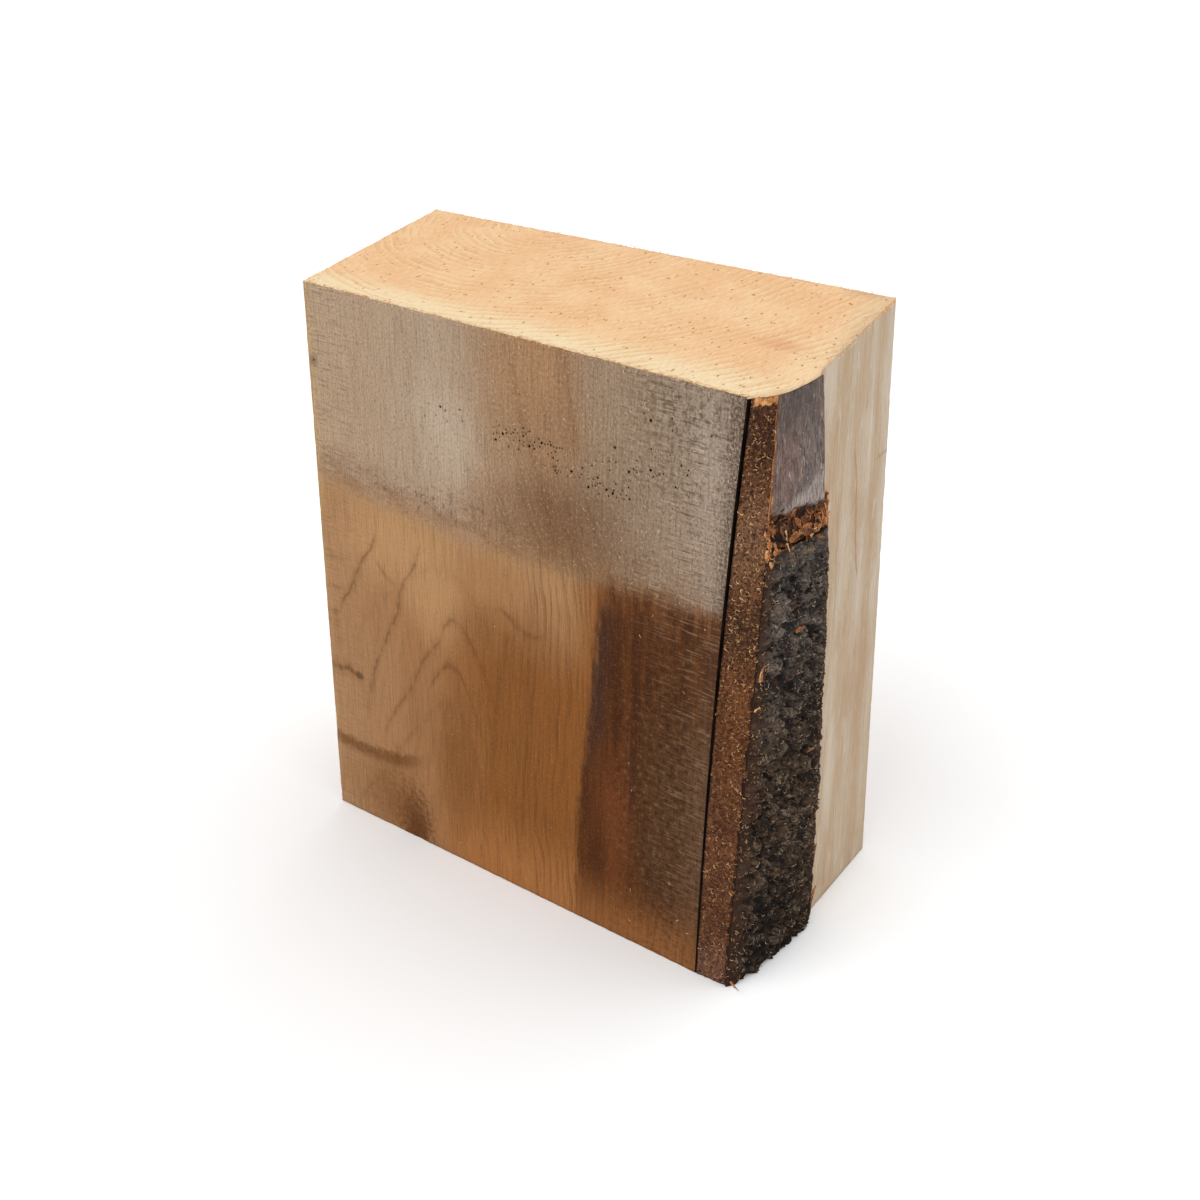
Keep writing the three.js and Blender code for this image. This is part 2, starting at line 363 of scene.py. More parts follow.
class Paint:
    """One material. A colour is written as on a screen, 0 to 255, and divided by `light`."""

    def __init__(self, name, light=1.0):
        self.light = light
        self.material = bpy.data.materials.new(name)
        self.material.use_nodes = True
        self.tree = self.material.node_tree
        self.shader = self.tree.nodes["Principled BSDF"]

    def node(self, kind, **settings):
        made = self.tree.nodes.new(kind)
        for key, value in settings.items():
            setattr(made, key, value)
        return made

    def feed(self, socket, value):
        if isinstance(value, Pattern):
            self.tree.links.new(value.socket, socket)
        elif socket.type == "RGBA":
            socket.default_value = tone(*value, self.light)
        elif value is not None:
            socket.default_value = value

    def made(self, kind, inputs, output=0, **settings):
        """A node with its first inputs fed in order. A dictionary feeds them by name instead."""
        node = self.node(kind, **settings)
        for name, value in inputs.items() if isinstance(inputs, dict) else enumerate(inputs):
            self.feed(node.inputs[name], value)
        return Pattern(self, node.outputs[output])

    def math(self, operation, a, b=None):
        return self.made("ShaderNodeMath", (a, b), operation=operation)

    def larger(self, a, b):
        return self.math("MAXIMUM", a, b)

    def fraction(self, a):
        return self.math("FRACT", a)

    def root(self, a):
        return self.math("SQRT", a)

    def span(self, value, low, high, to_low=0.0, to_high=1.0, soft=True):
        """Goes smoothly from `to_low` where the value is `low` to `to_high` where it is `high`."""
        return self.made("ShaderNodeMapRange", (value, low, high, to_low, to_high),
                         interpolation_type="SMOOTHSTEP" if soft else "LINEAR")

    def mapped(self, vector, scale, turn=0.0, offset=(0, 0, 0)):
        return self.made("ShaderNodeMapping", {"Vector": vector, "Scale": scale, "Rotation": (0, 0, turn),
                                               "Location": offset})

    def block_place(self):
        """The place on the block in its own millimetres."""
        where = Pattern(self, self.node("ShaderNodeTexCoord").outputs["Object"])
        return self.mapped(where, (1000, 1000, 1000), offset=tuple(-SHIFT))

    def stored(self, name, output):
        """A number or a place that was stored on the points of the piece."""
        return self.made("ShaderNodeAttribute", (), output, attribute_type="GEOMETRY", attribute_name=name)

    def parts(self, vector):
        made = self.node("ShaderNodeSeparateXYZ")
        self.feed(made.inputs[0], vector)
        return [Pattern(self, output) for output in made.outputs]

    def point(self, x, y, z=0.0):
        return self.made("ShaderNodeCombineXYZ", (x, y, z))

    def in_cells(self, vector, cell, turn=0.0, offset=(0, 0, 0)):
        """The place counted in cells of the given size, turned about Z first if asked."""
        if cell is None:
            return vector
        return self.mapped(vector, tuple(1 / size for size in cell), turn, offset)

    def noise(self, vector, cell, detail=2.0, roughness=0.5, distortion=0.0, turn=0.0, offset=(0, 0, 0)):
        return self.made("ShaderNodeTexNoise", {
            "Vector": self.in_cells(vector, cell, turn, offset), "Scale": 1.0, "Detail": detail,
            "Roughness": roughness, "Distortion": distortion}, "Fac")

    def cells(self, vector, cell, turn=0.0):
        """Distance to the nearest of many strewn centres."""
        return self.made("ShaderNodeTexVoronoi", {
            "Vector": self.in_cells(vector, cell, turn), "Scale": 1.0, "Randomness": 1.0},
            "Distance", feature="F1")

    def curly(self, vector, cell, many, thin, broken=0.5):
        """Thin curly lines: the level lines of a noise, kept only where a second noise is high."""
        vector = self.in_cells(vector, cell)
        level = self.fraction(self.noise(vector, None, 1.2, 0.5, 0.8) * many)
        away = abs(level - 0.5)
        kept = self.noise(vector, (0.6, 0.6, 0.6), 1.0, offset=(7, 3, 5))
        return self.span(away, thin, thin * 0.35) * self.span(kept, broken, broken + 0.07)

    def over(self, under, colour, amount):
        return self.made("ShaderNodeMix", {0: amount, 6: under, 7: colour}, 2, data_type="RGBA")

    def ramp(self, value, stops):
        made = self.node("ShaderNodeValToRGB")
        points = made.color_ramp.elements
        while len(points) < len(stops):
            points.new(0.5)
        for point, (place, colour) in zip(points, stops):
            point.position = place
            point.color = tone(*colour, self.light)
        self.feed(made.inputs[0], value)
        return Pattern(self, made.outputs["Color"])

    def curve(self, value, points):
        """A smooth function drawn through points (input, output)."""
        ins = [p[0] for p in points]
        outs = [p[1] for p in points]
        low, high = min(outs), max(outs)
        room = max(high - low, 1e-6)
        made = self.node("ShaderNodeFloatCurve")
        line = made.mapping.curves[0]
        spots = [((x - ins[0]) / (ins[-1] - ins[0]), (y - low) / room) for x, y in points]
        line.points[0].location = spots[0]
        line.points[1].location = spots[-1]
        for spot in spots[1:-1]:
            line.points.new(*spot)
        made.mapping.use_clip = False
        made.mapping.update()
        self.feed(made.inputs["Value"], self.span(value, ins[0], ins[-1], soft=False))
        return Pattern(self, made.outputs[0]) * room + low

    def stroke(self, along, across, points, width, fade, wobble):
        """Mask of a thin line: `across` as a function of `along`, faded at both ends."""
        away = abs(across - (self.curve(along, points) + wobble))
        body = self.span(away, width * 1.5, width * 0.2)
        start = self.span(along, points[0][0] - 0.3 * fade, points[0][0] + fade)
        end = self.span(along, points[-1][0] + 0.3 * fade, points[-1][0] - fade)
        return body * start * end

    def patch(self, across, up, centre, radii, blur=0.5, ragged=None, rag=0.0):
        """Mask of a soft oval stain. `ragged` is a noise that pushes its outline in and out."""
        dx = (across - centre[0]) / radii[0]
        dy = (up - centre[1]) / radii[1]
        away = self.root(dx * dx + dy * dy)
        if ragged is not None:
            away = away + (ragged - 0.5) * rag
        return self.span(away, 1 + blur, max(0.0, 1 - blur))

    def finish(self, colour, roughness, bump=None, bump_depth=0.3, specular=0.15):
        """Roughness may be a pattern. Bump is a pattern whose full range is bump_depth millimetres."""
        self.feed(self.shader.inputs["Base Color"], colour)
        self.feed(self.shader.inputs["Roughness"], roughness)
        self.shader.inputs["Specular IOR Level"].default_value = specular
        if bump is not None:
            relief = self.made("ShaderNodeBump", {
                "Strength": 1.0, "Distance": bump_depth / 1000, "Height": bump})
            self.feed(self.shader.inputs["Normal"], relief)
        return self.material


# %% [markdown]
# ## The wood
# The wood is one closed skin made of patches: front, the hidden wane behind the bark, right, back,
# left, top and foot. A regular grid could not hold the small round beetle holes in the front, so each
# flat patch is strewn with points and joined up by a Delaunay triangulation. Neighbouring patches
# share the points along their common edge, which are nicked a little, because a sawn edge crumbles.
# Every hole gets a ring of points at its rim, a ring at its floor and one deep point in the middle.
# %% Edges that the patches share
LIP = 0.9
LIP_LEVEL = 1 - LIP / HEIGHT
EDGE_STEP = 2.0
wood_points = []


def keep(points):
    """Adds points to the wood and returns their numbers."""
    first = len(wood_points)
    wood_points.extend(np.asarray(points, float).tolist())
    return list(range(first, first + len(points)))


def nick(along, seed, deep=0.35):
    """How far an edge has crumbled: a little everywhere, more at a few places."""
    small = 0.5 + 0.5 * layered_noise(along / 2.3, seed * 1.7, seed, 3) / 1.75
    chip = smooth(0.55, 0.95, soft_noise(along / 7.1, seed * 2.3, seed + 40))
    return deep * np.clip(small, 0, 1) + 0.8 * chip * deep


levels = np.append(np.linspace(0, LIP_LEVEL, int(HEIGHT / EDGE_STEP)), 1.0)
front_line = {
    "front_left": lambda t: corner("front_left", t),
    "crack": crack_point,
    "bark_end": bark_end,
    "back_right": lambda t: corner("back_right", t),
    "back_left": lambda t: corner("back_left", t),
}
INWARD = {"front_left": (1, 1), "crack": (-0.2, 0.6), "bark_end": (-0.6, 0.3), "back_right": (-1, -1),
          "back_left": (1, -1)}
columns = {}
for number, (name, line) in enumerate(front_line.items()):
    plan = line(levels) + np.array(INWARD[name]) * nick(levels * HEIGHT, number + 3, 0.16)[:, None]
    columns[name] = keep(at_level(plan, levels))

SIDES = {"front": ("front_left", "crack"), "right": ("bark_end", "back_right"),
         "back": ("back_right", "back_left"), "left": ("back_left", "front_left")}
SIDE_IN = {"front": (0, 1), "right": (-1, 0), "back": (0, -1), "left": (1, 0)}
rows = {}
for number, (side, (first, last)) in enumerate(SIDES.items()):
    for end, t in (("foot", 0.0), ("top", 1.0)):
        a, b = front_line[first](t), front_line[last](t)
        count = int(np.linalg.norm(b - a) / EDGE_STEP)
        share = np.linspace(0, 1, count + 1)[1:-1]
        edge = at_level(mix(a, b, share), np.full(len(share), t))
        loss = nick(share * count * EDGE_STEP, number + 21 + 5 * t, 0.45 if end == "top" else 0.35)
        edge[:, :2] += np.array(SIDE_IN[side]) * (0.6 * loss)[:, None]
        edge[:, 2] += loss if end == "foot" else -loss
        at_end = 0 if end == "foot" else -1
        rows[side, end] = ([columns[first][at_end]] + keep(edge) + [columns[last][at_end]],
                           np.concatenate([[0], share, [1]]))
print("levels on an upright edge", len(levels))

# %% [markdown]
# Wood beetles left about 120 round holes of under 1.5 mm. On the real block they lie in two
# loose bands across the front, with some strewn round them. Chance places them along each band, and
# a new hole is kept only if it is clear of the others, because overlapping rims would tangle the mesh.
# %% Beetle holes
# Each band: one end, other end, how far the holes spread, how many. Each hole: across, up, radius.
random.seed(7)
BANDS = [((114, 255), (149, 255), 4.0, 46), ((143, 247), (186, 243), 4.2, 36),
         ((150, 250), (215, 262), 9.0, 26), ((60, 250), (110, 262), 9.0, 7), ((190, 283), (232, 279), 9.0, 5)]
holes = [(3.4, 263.0, 0.45)]
for (x0, z0), (x1, z1), spread, wanted in BANDS:
    made = 0
    while made < wanted:
        share = random.random()
        x = x0 + (x1 - x0) * share + random.gauss(0, 2)
        z = z0 + (z1 - z0) * share + random.gauss(0, spread * 0.5)
        r = random.choice((0.32, 0.36, 0.4, 0.45, 0.55, 0.7))
        if all(math.hypot(x - a, z - b) > r + s + 0.5 for a, b, s in holes):
            holes.append((x, z, r))
            made += 1
print("beetle holes", len(holes))


# %% [markdown]
# Each flat side is laid out as a rectangle in the plane, joined up there, and only then carried to
# its real place between two slanting upright edges. The saw's washboard and the depth of the holes
# push points in and out on the way, so that they are real shape and not only shading.
# %% Patches
def across_front(a, t):
    """Share of the way from the left edge to the crack, for a place counted over the full width."""
    full = np.linalg.norm(corner("front_right", t) - corner("front_left", t), axis=-1)
    to_crack = np.linalg.norm(crack_point(t) - corner("front_left", t), axis=-1)
    return a / FRONT_WIDTH * full / to_crack


def saw_waves(across, up, seed, depth=0.07):
    """Shallow washboard left by the band saw, with a little tear-out."""
    wave = np.sin(up * 2 * math.pi / 3.3 + 1.6 * soft_noise(across / 60, up / 30, seed))
    return depth * wave * (0.6 + 0.4 * soft_noise(across / 45, up / 25, seed + 1)) \
        + 0.06 * layered_noise(across / 3.1, up / 9, seed + 2, 3)


wood_faces = []
wood_looks = []


def fill(domain, numbers, inside, looks_of, reverse=False):
    """Joins border and inside points of a flat domain up with triangles."""
    points = [Vector(p) for p in domain]
    loop = list(range(len(numbers)))
    spots, _, faces, sources, _, _ = delaunay_2d_cdt(points, [], [loop], 1, 1e-5)
    number = np.array(list(numbers) + list(inside))
    source = number[[s[0] for s in sources]]
    corners = np.array(faces)
    middles = np.array([tuple(spot) for spot in spots])[corners].mean(axis=1)
    ids = source[corners]
    wood_faces.extend((ids[:, ::-1] if reverse else ids).tolist())
    wood_looks.extend(looks_of(middles).tolist())


def strewn(width, height, step, seed):
    """Jittered grid points inside a rectangle, clear of its border."""
    nx, ny = int(width / step), int(height / step)
    x, y = np.meshgrid(np.arange(1, nx) * width / nx, np.arange(1, ny) * height / ny, indexing="ij")
    x = x + 0.3 * step * soft_noise(x * 1.7, y * 2.3, seed)
    y = y + 0.3 * step * soft_noise(x * 2.9, y * 1.3, seed + 1)
    return np.stack([x.ravel(), y.ravel()], -1)


FRONT, RIGHT, BACK, LEFT, TOP_LOOK, FOOT_LOOK, HOLE, WANE = range(8)
LOOK = {"front": FRONT, "right": RIGHT, "back": BACK, "left": LEFT}
PITCH = {"front": 1.75, "right": 2.6, "back": 3.2, "left": 2.8}
OUTWARD = {"front": (0, -1, 0), "right": (1, 0, 0), "back": (0, 1, 0), "left": (-1, 0, 0)}
for seed, (side, (first, last)) in enumerate(SIDES.items()):
    width = {"front": 236.0, "right": 80.0, "back": 262.0, "left": 120.0}[side]
    low_ids, low_share = rows[side, "foot"]
    top_ids, top_share = rows[side, "top"]
    border = [(s * width, 0) for s in low_share] \
        + [(width, t * HEIGHT) for t in levels[1:]] \
        + [(s * width, HEIGHT) for s in top_share[::-1][1:]] \
        + [(0, t * HEIGHT) for t in levels[::-1][1:-1]]
    ids = low_ids + columns[last][1:] + top_ids[::-1][1:] + columns[first][::-1][1:-1]
    inner = strewn(width, HEIGHT, PITCH[side], seed)
    depth = np.zeros(len(inner))
    in_hole = []
    if side == "front":
        for a, z, r in holes:
            x = float(across_front(a, z / HEIGHT)) * width
            clear = np.hypot(inner[:, 0] - x, inner[:, 1] - z) > r + 0.55
            inner, depth = inner[clear], depth[clear]
            angles = np.arange(8) * math.pi / 4 + x
            uneven = 1 + 0.12 * np.sin(angles * 2 + z)
            circle = np.stack([np.cos(angles), np.sin(angles)], -1) * uneven[:, None]
            inner = np.concatenate([inner, [x, z] + circle * r, [x, z] + circle * r * 0.78, [[x, z]]])
            depth = np.concatenate([depth, np.zeros(8), np.full(8, 1.5 * r + 0.5), [2.2 * r + 0.6]])
            in_hole.append((x, z, r))
    a, b = front_line[first], front_line[last]
    t = inner[:, 1] / HEIGHT
    surface = at_level(mix(a(t), b(t), inner[:, 0] / width), t)
    out = saw_waves(inner[:, 0], inner[:, 1], 50 + seed) * (depth == 0)
    surface += np.array(OUTWARD[side]) * (out - depth)[:, None]

    def looks_of(middles):
        looks = np.full(len(middles), LOOK[side])
        for x, z, r in in_hole:
            looks[np.hypot(middles[:, 0] - x, middles[:, 1] - z) < r * 0.93] = HOLE
        return looks

    fill(border + inner.tolist(), ids, keep(surface), looks_of)
print("side faces", len(wood_faces))

# %% [markdown]
# The fresh saw cut on top runs out over the bark without a gap, so the wood's top reaches over the
# inner bark as a thin lip, and the wane starts below it. The wane is a plain grid of quads, because
# the bark hides it. Top and foot are many-sided, so they are strewn and joined up like the sides.
# %% Wane, lip, top and foot
WANE_STEPS = 24
u_steps = np.linspace(0, 1, WANE_STEPS + 1)
grid = [columns["crack"]]
for k in range(1, WANE_STEPS):
    grid.append(keep(at_level(wane(levels[:-1], np.full(len(levels) - 1, u_steps[k])), levels[:-1])))
grid.append(columns["bark_end"])


def add_faces(faces, look):
    for face in faces:
        ids = [i for n, i in enumerate(face) if i not in face[:n]]
        if len(ids) > 2:
            wood_faces.append(ids)
            wood_looks.append(look)


for k in range(WANE_STEPS):
    here, there = grid[k], grid[k + 1]
    add_faces([(here[i], there[i], there[i + 1], here[i + 1]) for i in range(len(levels) - 2)], WANE)

round_top = np.concatenate([mix(crack_point(1.0), strip_edge(1.0), np.linspace(0, 1, 8)[1:]),
                            skin(1.0, np.linspace(0, 1, WANE_STEPS - 6)[1:-1])])
wobble = 0.25 * layered_noise(np.arange(len(round_top)) / 1.7, 3.0, 61, 2)
round_top = round_top + wobble[:, None] * np.array([-0.7, 0.7])
rise = HEIGHT + TOP_SLOPE * round_top[:, 1:2]
drop = 0.25 + 0.2 * layered_noise(np.arange(len(round_top)) / 1.3, 9.0, 62, 2)
under_lip = [columns["crack"][-2]] + keep(np.hstack([round_top, rise - LIP])) + [columns["bark_end"][-2]]
lip_top = keep(np.hstack([round_top, rise - drop[:, None]]))
lip_top = [columns["crack"][-1]] + lip_top + [columns["bark_end"][-1]]
wane_top = [column[len(levels) - 2] for column in grid]
add_faces([(wane_top[k], wane_top[k + 1], under_lip[k + 1], under_lip[k]) for k in range(WANE_STEPS)], WANE)
add_faces([(under_lip[k], under_lip[k + 1], lip_top[k + 1], lip_top[k]) for k in range(WANE_STEPS)], TOP_LOOK)

wane_foot = [column[0] for column in grid]
for end, corner_line, look in (("top", lip_top, TOP_LOOK), ("foot", wane_foot, FOOT_LOOK)):
    t = 1.0 if end == "top" else 0.0
    loop = rows["front", end][0][:-1] + corner_line[:-1] + rows["right", end][0][:-1] \
        + rows["back", end][0][:-1] + rows["left", end][0][:-1]
    plan = [mix(front_line["front_left"](t), crack_point(t), rows["front", end][1][:-1])]
    curve = np.concatenate([[crack_point(1.0)], round_top]) if end == "top" else wane(0.0, u_steps[:-1])
    plan.append(curve)
    for side in ("right", "back", "left"):
        first, last = SIDES[side]
        plan.append(mix(front_line[first](t), front_line[last](t), rows[side, end][1][:-1]))
    outline = np.concatenate(plan)
    pitch = 1.7 if end == "top" else 4.0
    box = strewn(270, 130, pitch, 70) + [-9, 0]
    following = np.roll(outline, -1, axis=0)
    side_of = (following[None, :, 0] - outline[None, :, 0]) * (box[:, None, 1] - outline[None, :, 1]) \
        - (following[None, :, 1] - outline[None, :, 1]) * (box[:, None, 0] - outline[None, :, 0])
    length = np.linalg.norm(following - outline, axis=1)
    inner = box[(side_of / length > 0.7 * pitch * 0.6).all(axis=1)]
    surface = at_level(inner, np.full(len(inner), t))
    texture = 0.09 * layered_noise((inner[:, 0] + inner[:, 1]) / 2.2, (inner[:, 0] - inner[:, 1]) / 9, 71, 3)
    surface[:, 2] += texture - 0.1 if end == "top" else 0.05 + np.abs(texture)
    fill(outline.tolist() + inner.tolist(), loop, keep(surface),
         lambda middles, look=look: np.full(len(middles), look), end == "foot")
print("wood faces", len(wood_faces))

# %% [markdown]
# ## The weathered front
# This face shows the log's growth rings cut lengthwise, and what happened to it since. Above about
# 200 mm the sun has bleached it grey. Below, the orange brown heartwood shows, with pointed arches
# where the saw met the rings at a low angle, and a dark water stain beside the bark. All of it is
# painted in layers: broad colours first, then stains with soft outlines, then rings, lines and specks.
# %% Front colours
LIGHT_FRONT = 1.11


def front_place(p):
    """Place across, counted from the slanting left edge to the full width at the right, and height."""
    x, y, z = p.parts(p.block_place())
    slant = z / 30
    across = (x - slant) * FRONT_WIDTH / (FRONT_WIDTH - slant)
    return across, z, p.point(across, 0, z)


def front_ground(p, across, z, where):
    broad = p.noise(where, (40, 1, 60), 3, 0.55)
    warm = p.ramp(p.span(across + (broad - 0.5) * 20, 0, 255, soft=False),
                  [(0.0, (176, 134, 96)), (0.16, (169, 124, 84)), (0.3, (162, 114, 73)),
                   (0.42, (143, 90, 43)), (0.53, (139, 86, 40)), (0.66, (140, 87, 41)),
                   (1.0, (132, 82, 41))])
    pale_below_grey = p.span(z, 128, 192) * p.span(across, 176, 150)
    pale_below_grey = pale_below_grey * p.span(across, 4, 50, 0.35, 1.0)
    warm.lay((181, 138, 96), pale_below_grey * 0.85)
    foot_glow = p.span(z, 56, 6) * p.span(across, 66, 95)
    warm.lay((174, 115, 66), foot_glow * 0.9)
    grey = p.ramp(p.span(across + (broad - 0.5) * 24, 0, 255, soft=False),
                  [(0.0, (184, 156, 126)), (0.1, (178, 151, 124)), (0.32, (181, 157, 133)),
                   (0.44, (168, 137, 108)), (0.56, (154, 123, 94)), (0.68, (155, 130, 104)),
                   (0.8, (156, 134, 113)), (0.92, (162, 143, 126)), (1.0, (140, 118, 98))])
    ragged = p.noise(where, (2.6, 1, 6), 5, 0.65)
    drift = p.noise(where, (22, 1, 14), 3, 0.5)
    tide = p.curve(across, [(0, 205), (28, 203), (60, 200), (110, 198), (150, 199), (176, 200), (214, 201),
                            (255, 197)])
    above = z + (ragged - 0.5) * 11 - tide
    above = above + (drift - 0.5) * 7
    grey_part = p.span(above, -9, 11)
    ground = p.over(warm, grey, grey_part)
    return ground, above, grey_part, broad


STAINS = [
    ((134, 288), (22, 34), (172, 132, 96), 0.95), ((140, 262), (16, 18), (160, 122, 90), 0.6),
    ((152, 222), (28, 17), (128, 92, 64), 0.95), ((120, 218), (22, 12), (148, 114, 86), 0.5),
    ((178, 226), (20, 18), (134, 104, 80), 0.7), ((84, 247), (18, 20), (191, 170, 148), 0.85),
    ((20, 285), (16, 26), (186, 161, 134), 0.4), ((178, 288), (15, 20), (164, 139, 115), 0.7),
    ((208, 240), (26, 26), (158, 136, 114), 0.7), ((226, 262), (10, 26), (182, 163, 146), 0.6),
    ((52, 236), (26, 12), (178, 152, 126), 0.5), ((46, 178), (28, 18), (192, 148, 104), 0.65),
    ((74, 160), (16, 24), (192, 148, 103), 0.65), ((30, 100), (34, 30), (169, 125, 86), 0.6),
    ((86, 66), (13, 42), (132, 84, 42), 0.75), ((60, 92), (10, 34), (152, 106, 66), 0.5),
    ((120, 120), (22, 44), (134, 85, 42), 0.5), ((20, 24), (24, 20), (160, 117, 77), 0.6),
    ((112, 176), (20, 14), (168, 122, 80), 0.5), ((106, 150), (12, 14), (148, 100, 58), 0.4)]


def front_stains(p, ground, across, z, where, above):
    ragged = p.noise(where, (9, 1, 16), 4, 0.55)
    fibres = p.noise(where, (1.1, 1, 34), 4, 0.6)
    for centre, radii, colour, amount in STAINS:
        mask = p.patch(across, z, centre, radii, 0.7, ragged, 1.0)
        ground.lay(colour, mask * amount)
    # The brown part at the top ends to the right in a crisp line, where the sapwood begins.
    sap_line = p.curve(z, [(240, 163), (255, 161), (270, 158), (300, 154)])
    past = across + (ragged - 0.5) * 2 - sap_line
    dark_side = p.span(past, -12, -1) * p.span(past, 0.8, -0.8) * p.span(z, 246, 262)
    ground.lay((142, 102, 70), dark_side * 0.45)
    # The grey ends below in a darker band of dirt.
    band = p.span(above, -6, 5) * p.span(above, 24, 4)
    band = band * p.span(p.noise(where, (22, 1, 9), 4, 0.6), 0.34, 0.62, 0.25, 1.0)
    band = band * p.span(across, 236, 200, 0.15, 1.0)
    ground.lay((138, 100, 66), band * 0.62)
    # Water stain beside the bark, with a crisp left edge and a streaky inside.
    edge = p.curve(z, [(0, 160), (60, 161), (90, 163), (130, 167), (180, 171), (205, 174)])
    sway = p.noise(where, (2.4, 1, 14), 4, 0.65)
    inside = across + (sway - 0.5) * 12 - edge
    stain = p.span(inside, -3.0, 3.5) * p.span(above, 6, -6)
    depth = p.span(z, -14, 44, 0.35, 1.0)
    streak = p.span(p.noise(where, (5, 1, 60), 4, 0.6), 0.36, 0.64)
    dark = p.over((72, 36, 12), (98, 54, 20), streak * 0.8)
    red = p.patch(across, z, (181, 64), (11, 42), 0.7, ragged, 0.8)
    dark.lay((114, 62, 28), red * 0.85)
    rib = p.patch(across, z, (173, 40), (5, 34), 0.7, ragged, 0.8)
    dark.lay((72, 36, 14), rib * 0.7)
    murk = p.patch(across, z, (216, 84), (18, 62), 0.8, ragged, 1.0)
    dark.lay((84, 56, 32), murk * 0.85)
    grey_rim = p.span(across, 214, 232) * p.span(z, 190, 110, 0.2, 1.0)
    dark.lay((118, 90, 66), grey_rim * p.span(fibres, 0.4, 0.6, 0.2, 0.8))
    edge_line = p.span(inside, -1.5, 0.5) * p.span(inside, 4.0, 1.0)
    dark.lay((62, 34, 18), edge_line * 0.6)
    edge_shade = p.span(inside, 14, 1) * p.patch(across, z, (173, 148), (16, 44), 0.6)
    dark.lay((66, 42, 34), edge_shade * 0.9)
    near_top = p.span(z, 180, 196) * p.span(p.noise(where, (4, 1, 26), 3), 0.4, 0.6)
    dark.lay((126, 80, 46), near_top * 0.7)
    low = p.span(z, 44, 0)
    dark.lay((130, 79, 38), low * 0.8)
    ground.lay(dark, stain * depth)
    # Dirt stripe low on the left and the dark patch below it.
    stripe = p.curve(across, [(0, 47), (20, 46), (40, 48), (52, 51), (68, 60)])
    tatter = p.noise(where, (3.5, 1, 3.5), 4, 0.65)
    off = z - stripe + (tatter - 0.5) * 9
    stripe_mask = p.span(off, 5.5, 1.0) * p.span(off, -8.0, -1.0)
    stripe_mask = stripe_mask * p.span(across, 70, 46)
    ground.lay((100, 56, 16), stripe_mask * 0.66)
    low_patch = p.patch(across, z, (55, 8), (9, 20), 0.9, tatter, 2.6)
    ground.lay((76, 38, 8), low_patch * 0.9)
    lean_patch = p.patch(across, z, (42, 20), (16, 24), 0.9, tatter, 2.4)
    ground.lay((124, 78, 38), lean_patch * 0.6)
    left_rim = p.span(across, 4.5, 1.5)
    ground.lay((198, 160, 112), left_rim * p.span(z, 170, 220, 0.15, 0.6))
    return fibres


# %% [markdown]
# The pointed arches of the grain are what makes this face look like one certain piece of wood. A
# noise can't draw them, so each is a curve through a few points, with a thin core and a soft halo.
# The upright rings beside them are a sawtooth of the distance across, bent by wide noises.
# %% Rings, lines and specks of the front
# A line is (points, width, strength). Arches give height against place across, falls the other way.
ARCHES = [
    ([(34, 58), (40, 72), (48, 86), (58, 102), (66, 120), (76, 134), (83, 148), (87, 150), (92, 147),
      (98, 138), (105, 126), (110, 110), (113, 92)], 2.0, 0.42),
    ([(64, 72), (66, 88), (69, 104), (75, 115), (80, 121), (84, 122), (89, 120), (94, 110), (100, 96),
      (105, 80)], 1.8, 0.42),
    ([(52, 40), (58, 60), (64, 80), (72, 92), (80, 98), (86, 98), (92, 90), (98, 74), (104, 52)], 2.6, 0.16),
    ([(92, 60), (97, 86), (101, 104), (104, 112), (108, 104), (112, 80), (114, 60)], 2.4, 0.12),
    ([(14, 100), (30, 134), (52, 158), (66, 170), (80, 176), (92, 172), (104, 158), (112, 140)], 3.0, 0.12),
]
FALLS = [
    ([(80, 26), (96, 30), (112, 36), (126, 42), (144, 50), (152, 51.6), (160, 54), (170, 61), (186, 67)],
     1.1, 0.5),
    ([(128, 9), (134, 11), (144, 17), (156, 23), (164, 27), (174, 34), (184, 37.5)], 1.1, 0.5),
    ([(36, 40), (50, 44), (62, 50), (74, 57), (88, 60)], 1.2, 0.22),
    ([(60, 22), (90, 28), (120, 34), (150, 38)], 1.2, 0.18),
    ([(0, 12), (14, 18), (30, 30), (44, 38)], 1.2, 0.22),
    ([(44, 112), (80, 110), (110, 112), (140, 118), (160, 121)], 1.1, 0.25),
    ([(0, 98), (40, 103), (90, 108), (120, 106)], 1.1, 0.2),
    ([(0, 124), (60, 128), (120, 131), (190, 136)], 1.1, 0.2),
    ([(205, 148), (240, 138), (262, 130), (300, 122)], 1.3, 0.25),
    ([(208, 70), (240, 66), (270, 64), (300, 60)], 1.3, 0.16),
]
LEVEL_MARKS = [
    ([(33, 171), (38, 165), (44, 160), (51, 157)], 1.1, 0.5),
    ([(111, 162), (114, 166), (120, 164), (127, 159), (133, 158), (142, 161)], 1.6, 0.5),
    ([(-4, 128), (4, 127), (11, 131)], 2.0, 0.5),
    ([(-4, 121), (6, 122), (13, 125)], 1.6, 0.35),
    ([(-4, 94), (6, 93), (13, 95), (19, 92), (25, 94)], 2.2, 0.65),
    ([(-4, 158), (8, 160), (18, 162)], 1.4, 0.3),
    ([(-4, 140), (12, 143), (26, 142)], 1.4, 0.2),
]


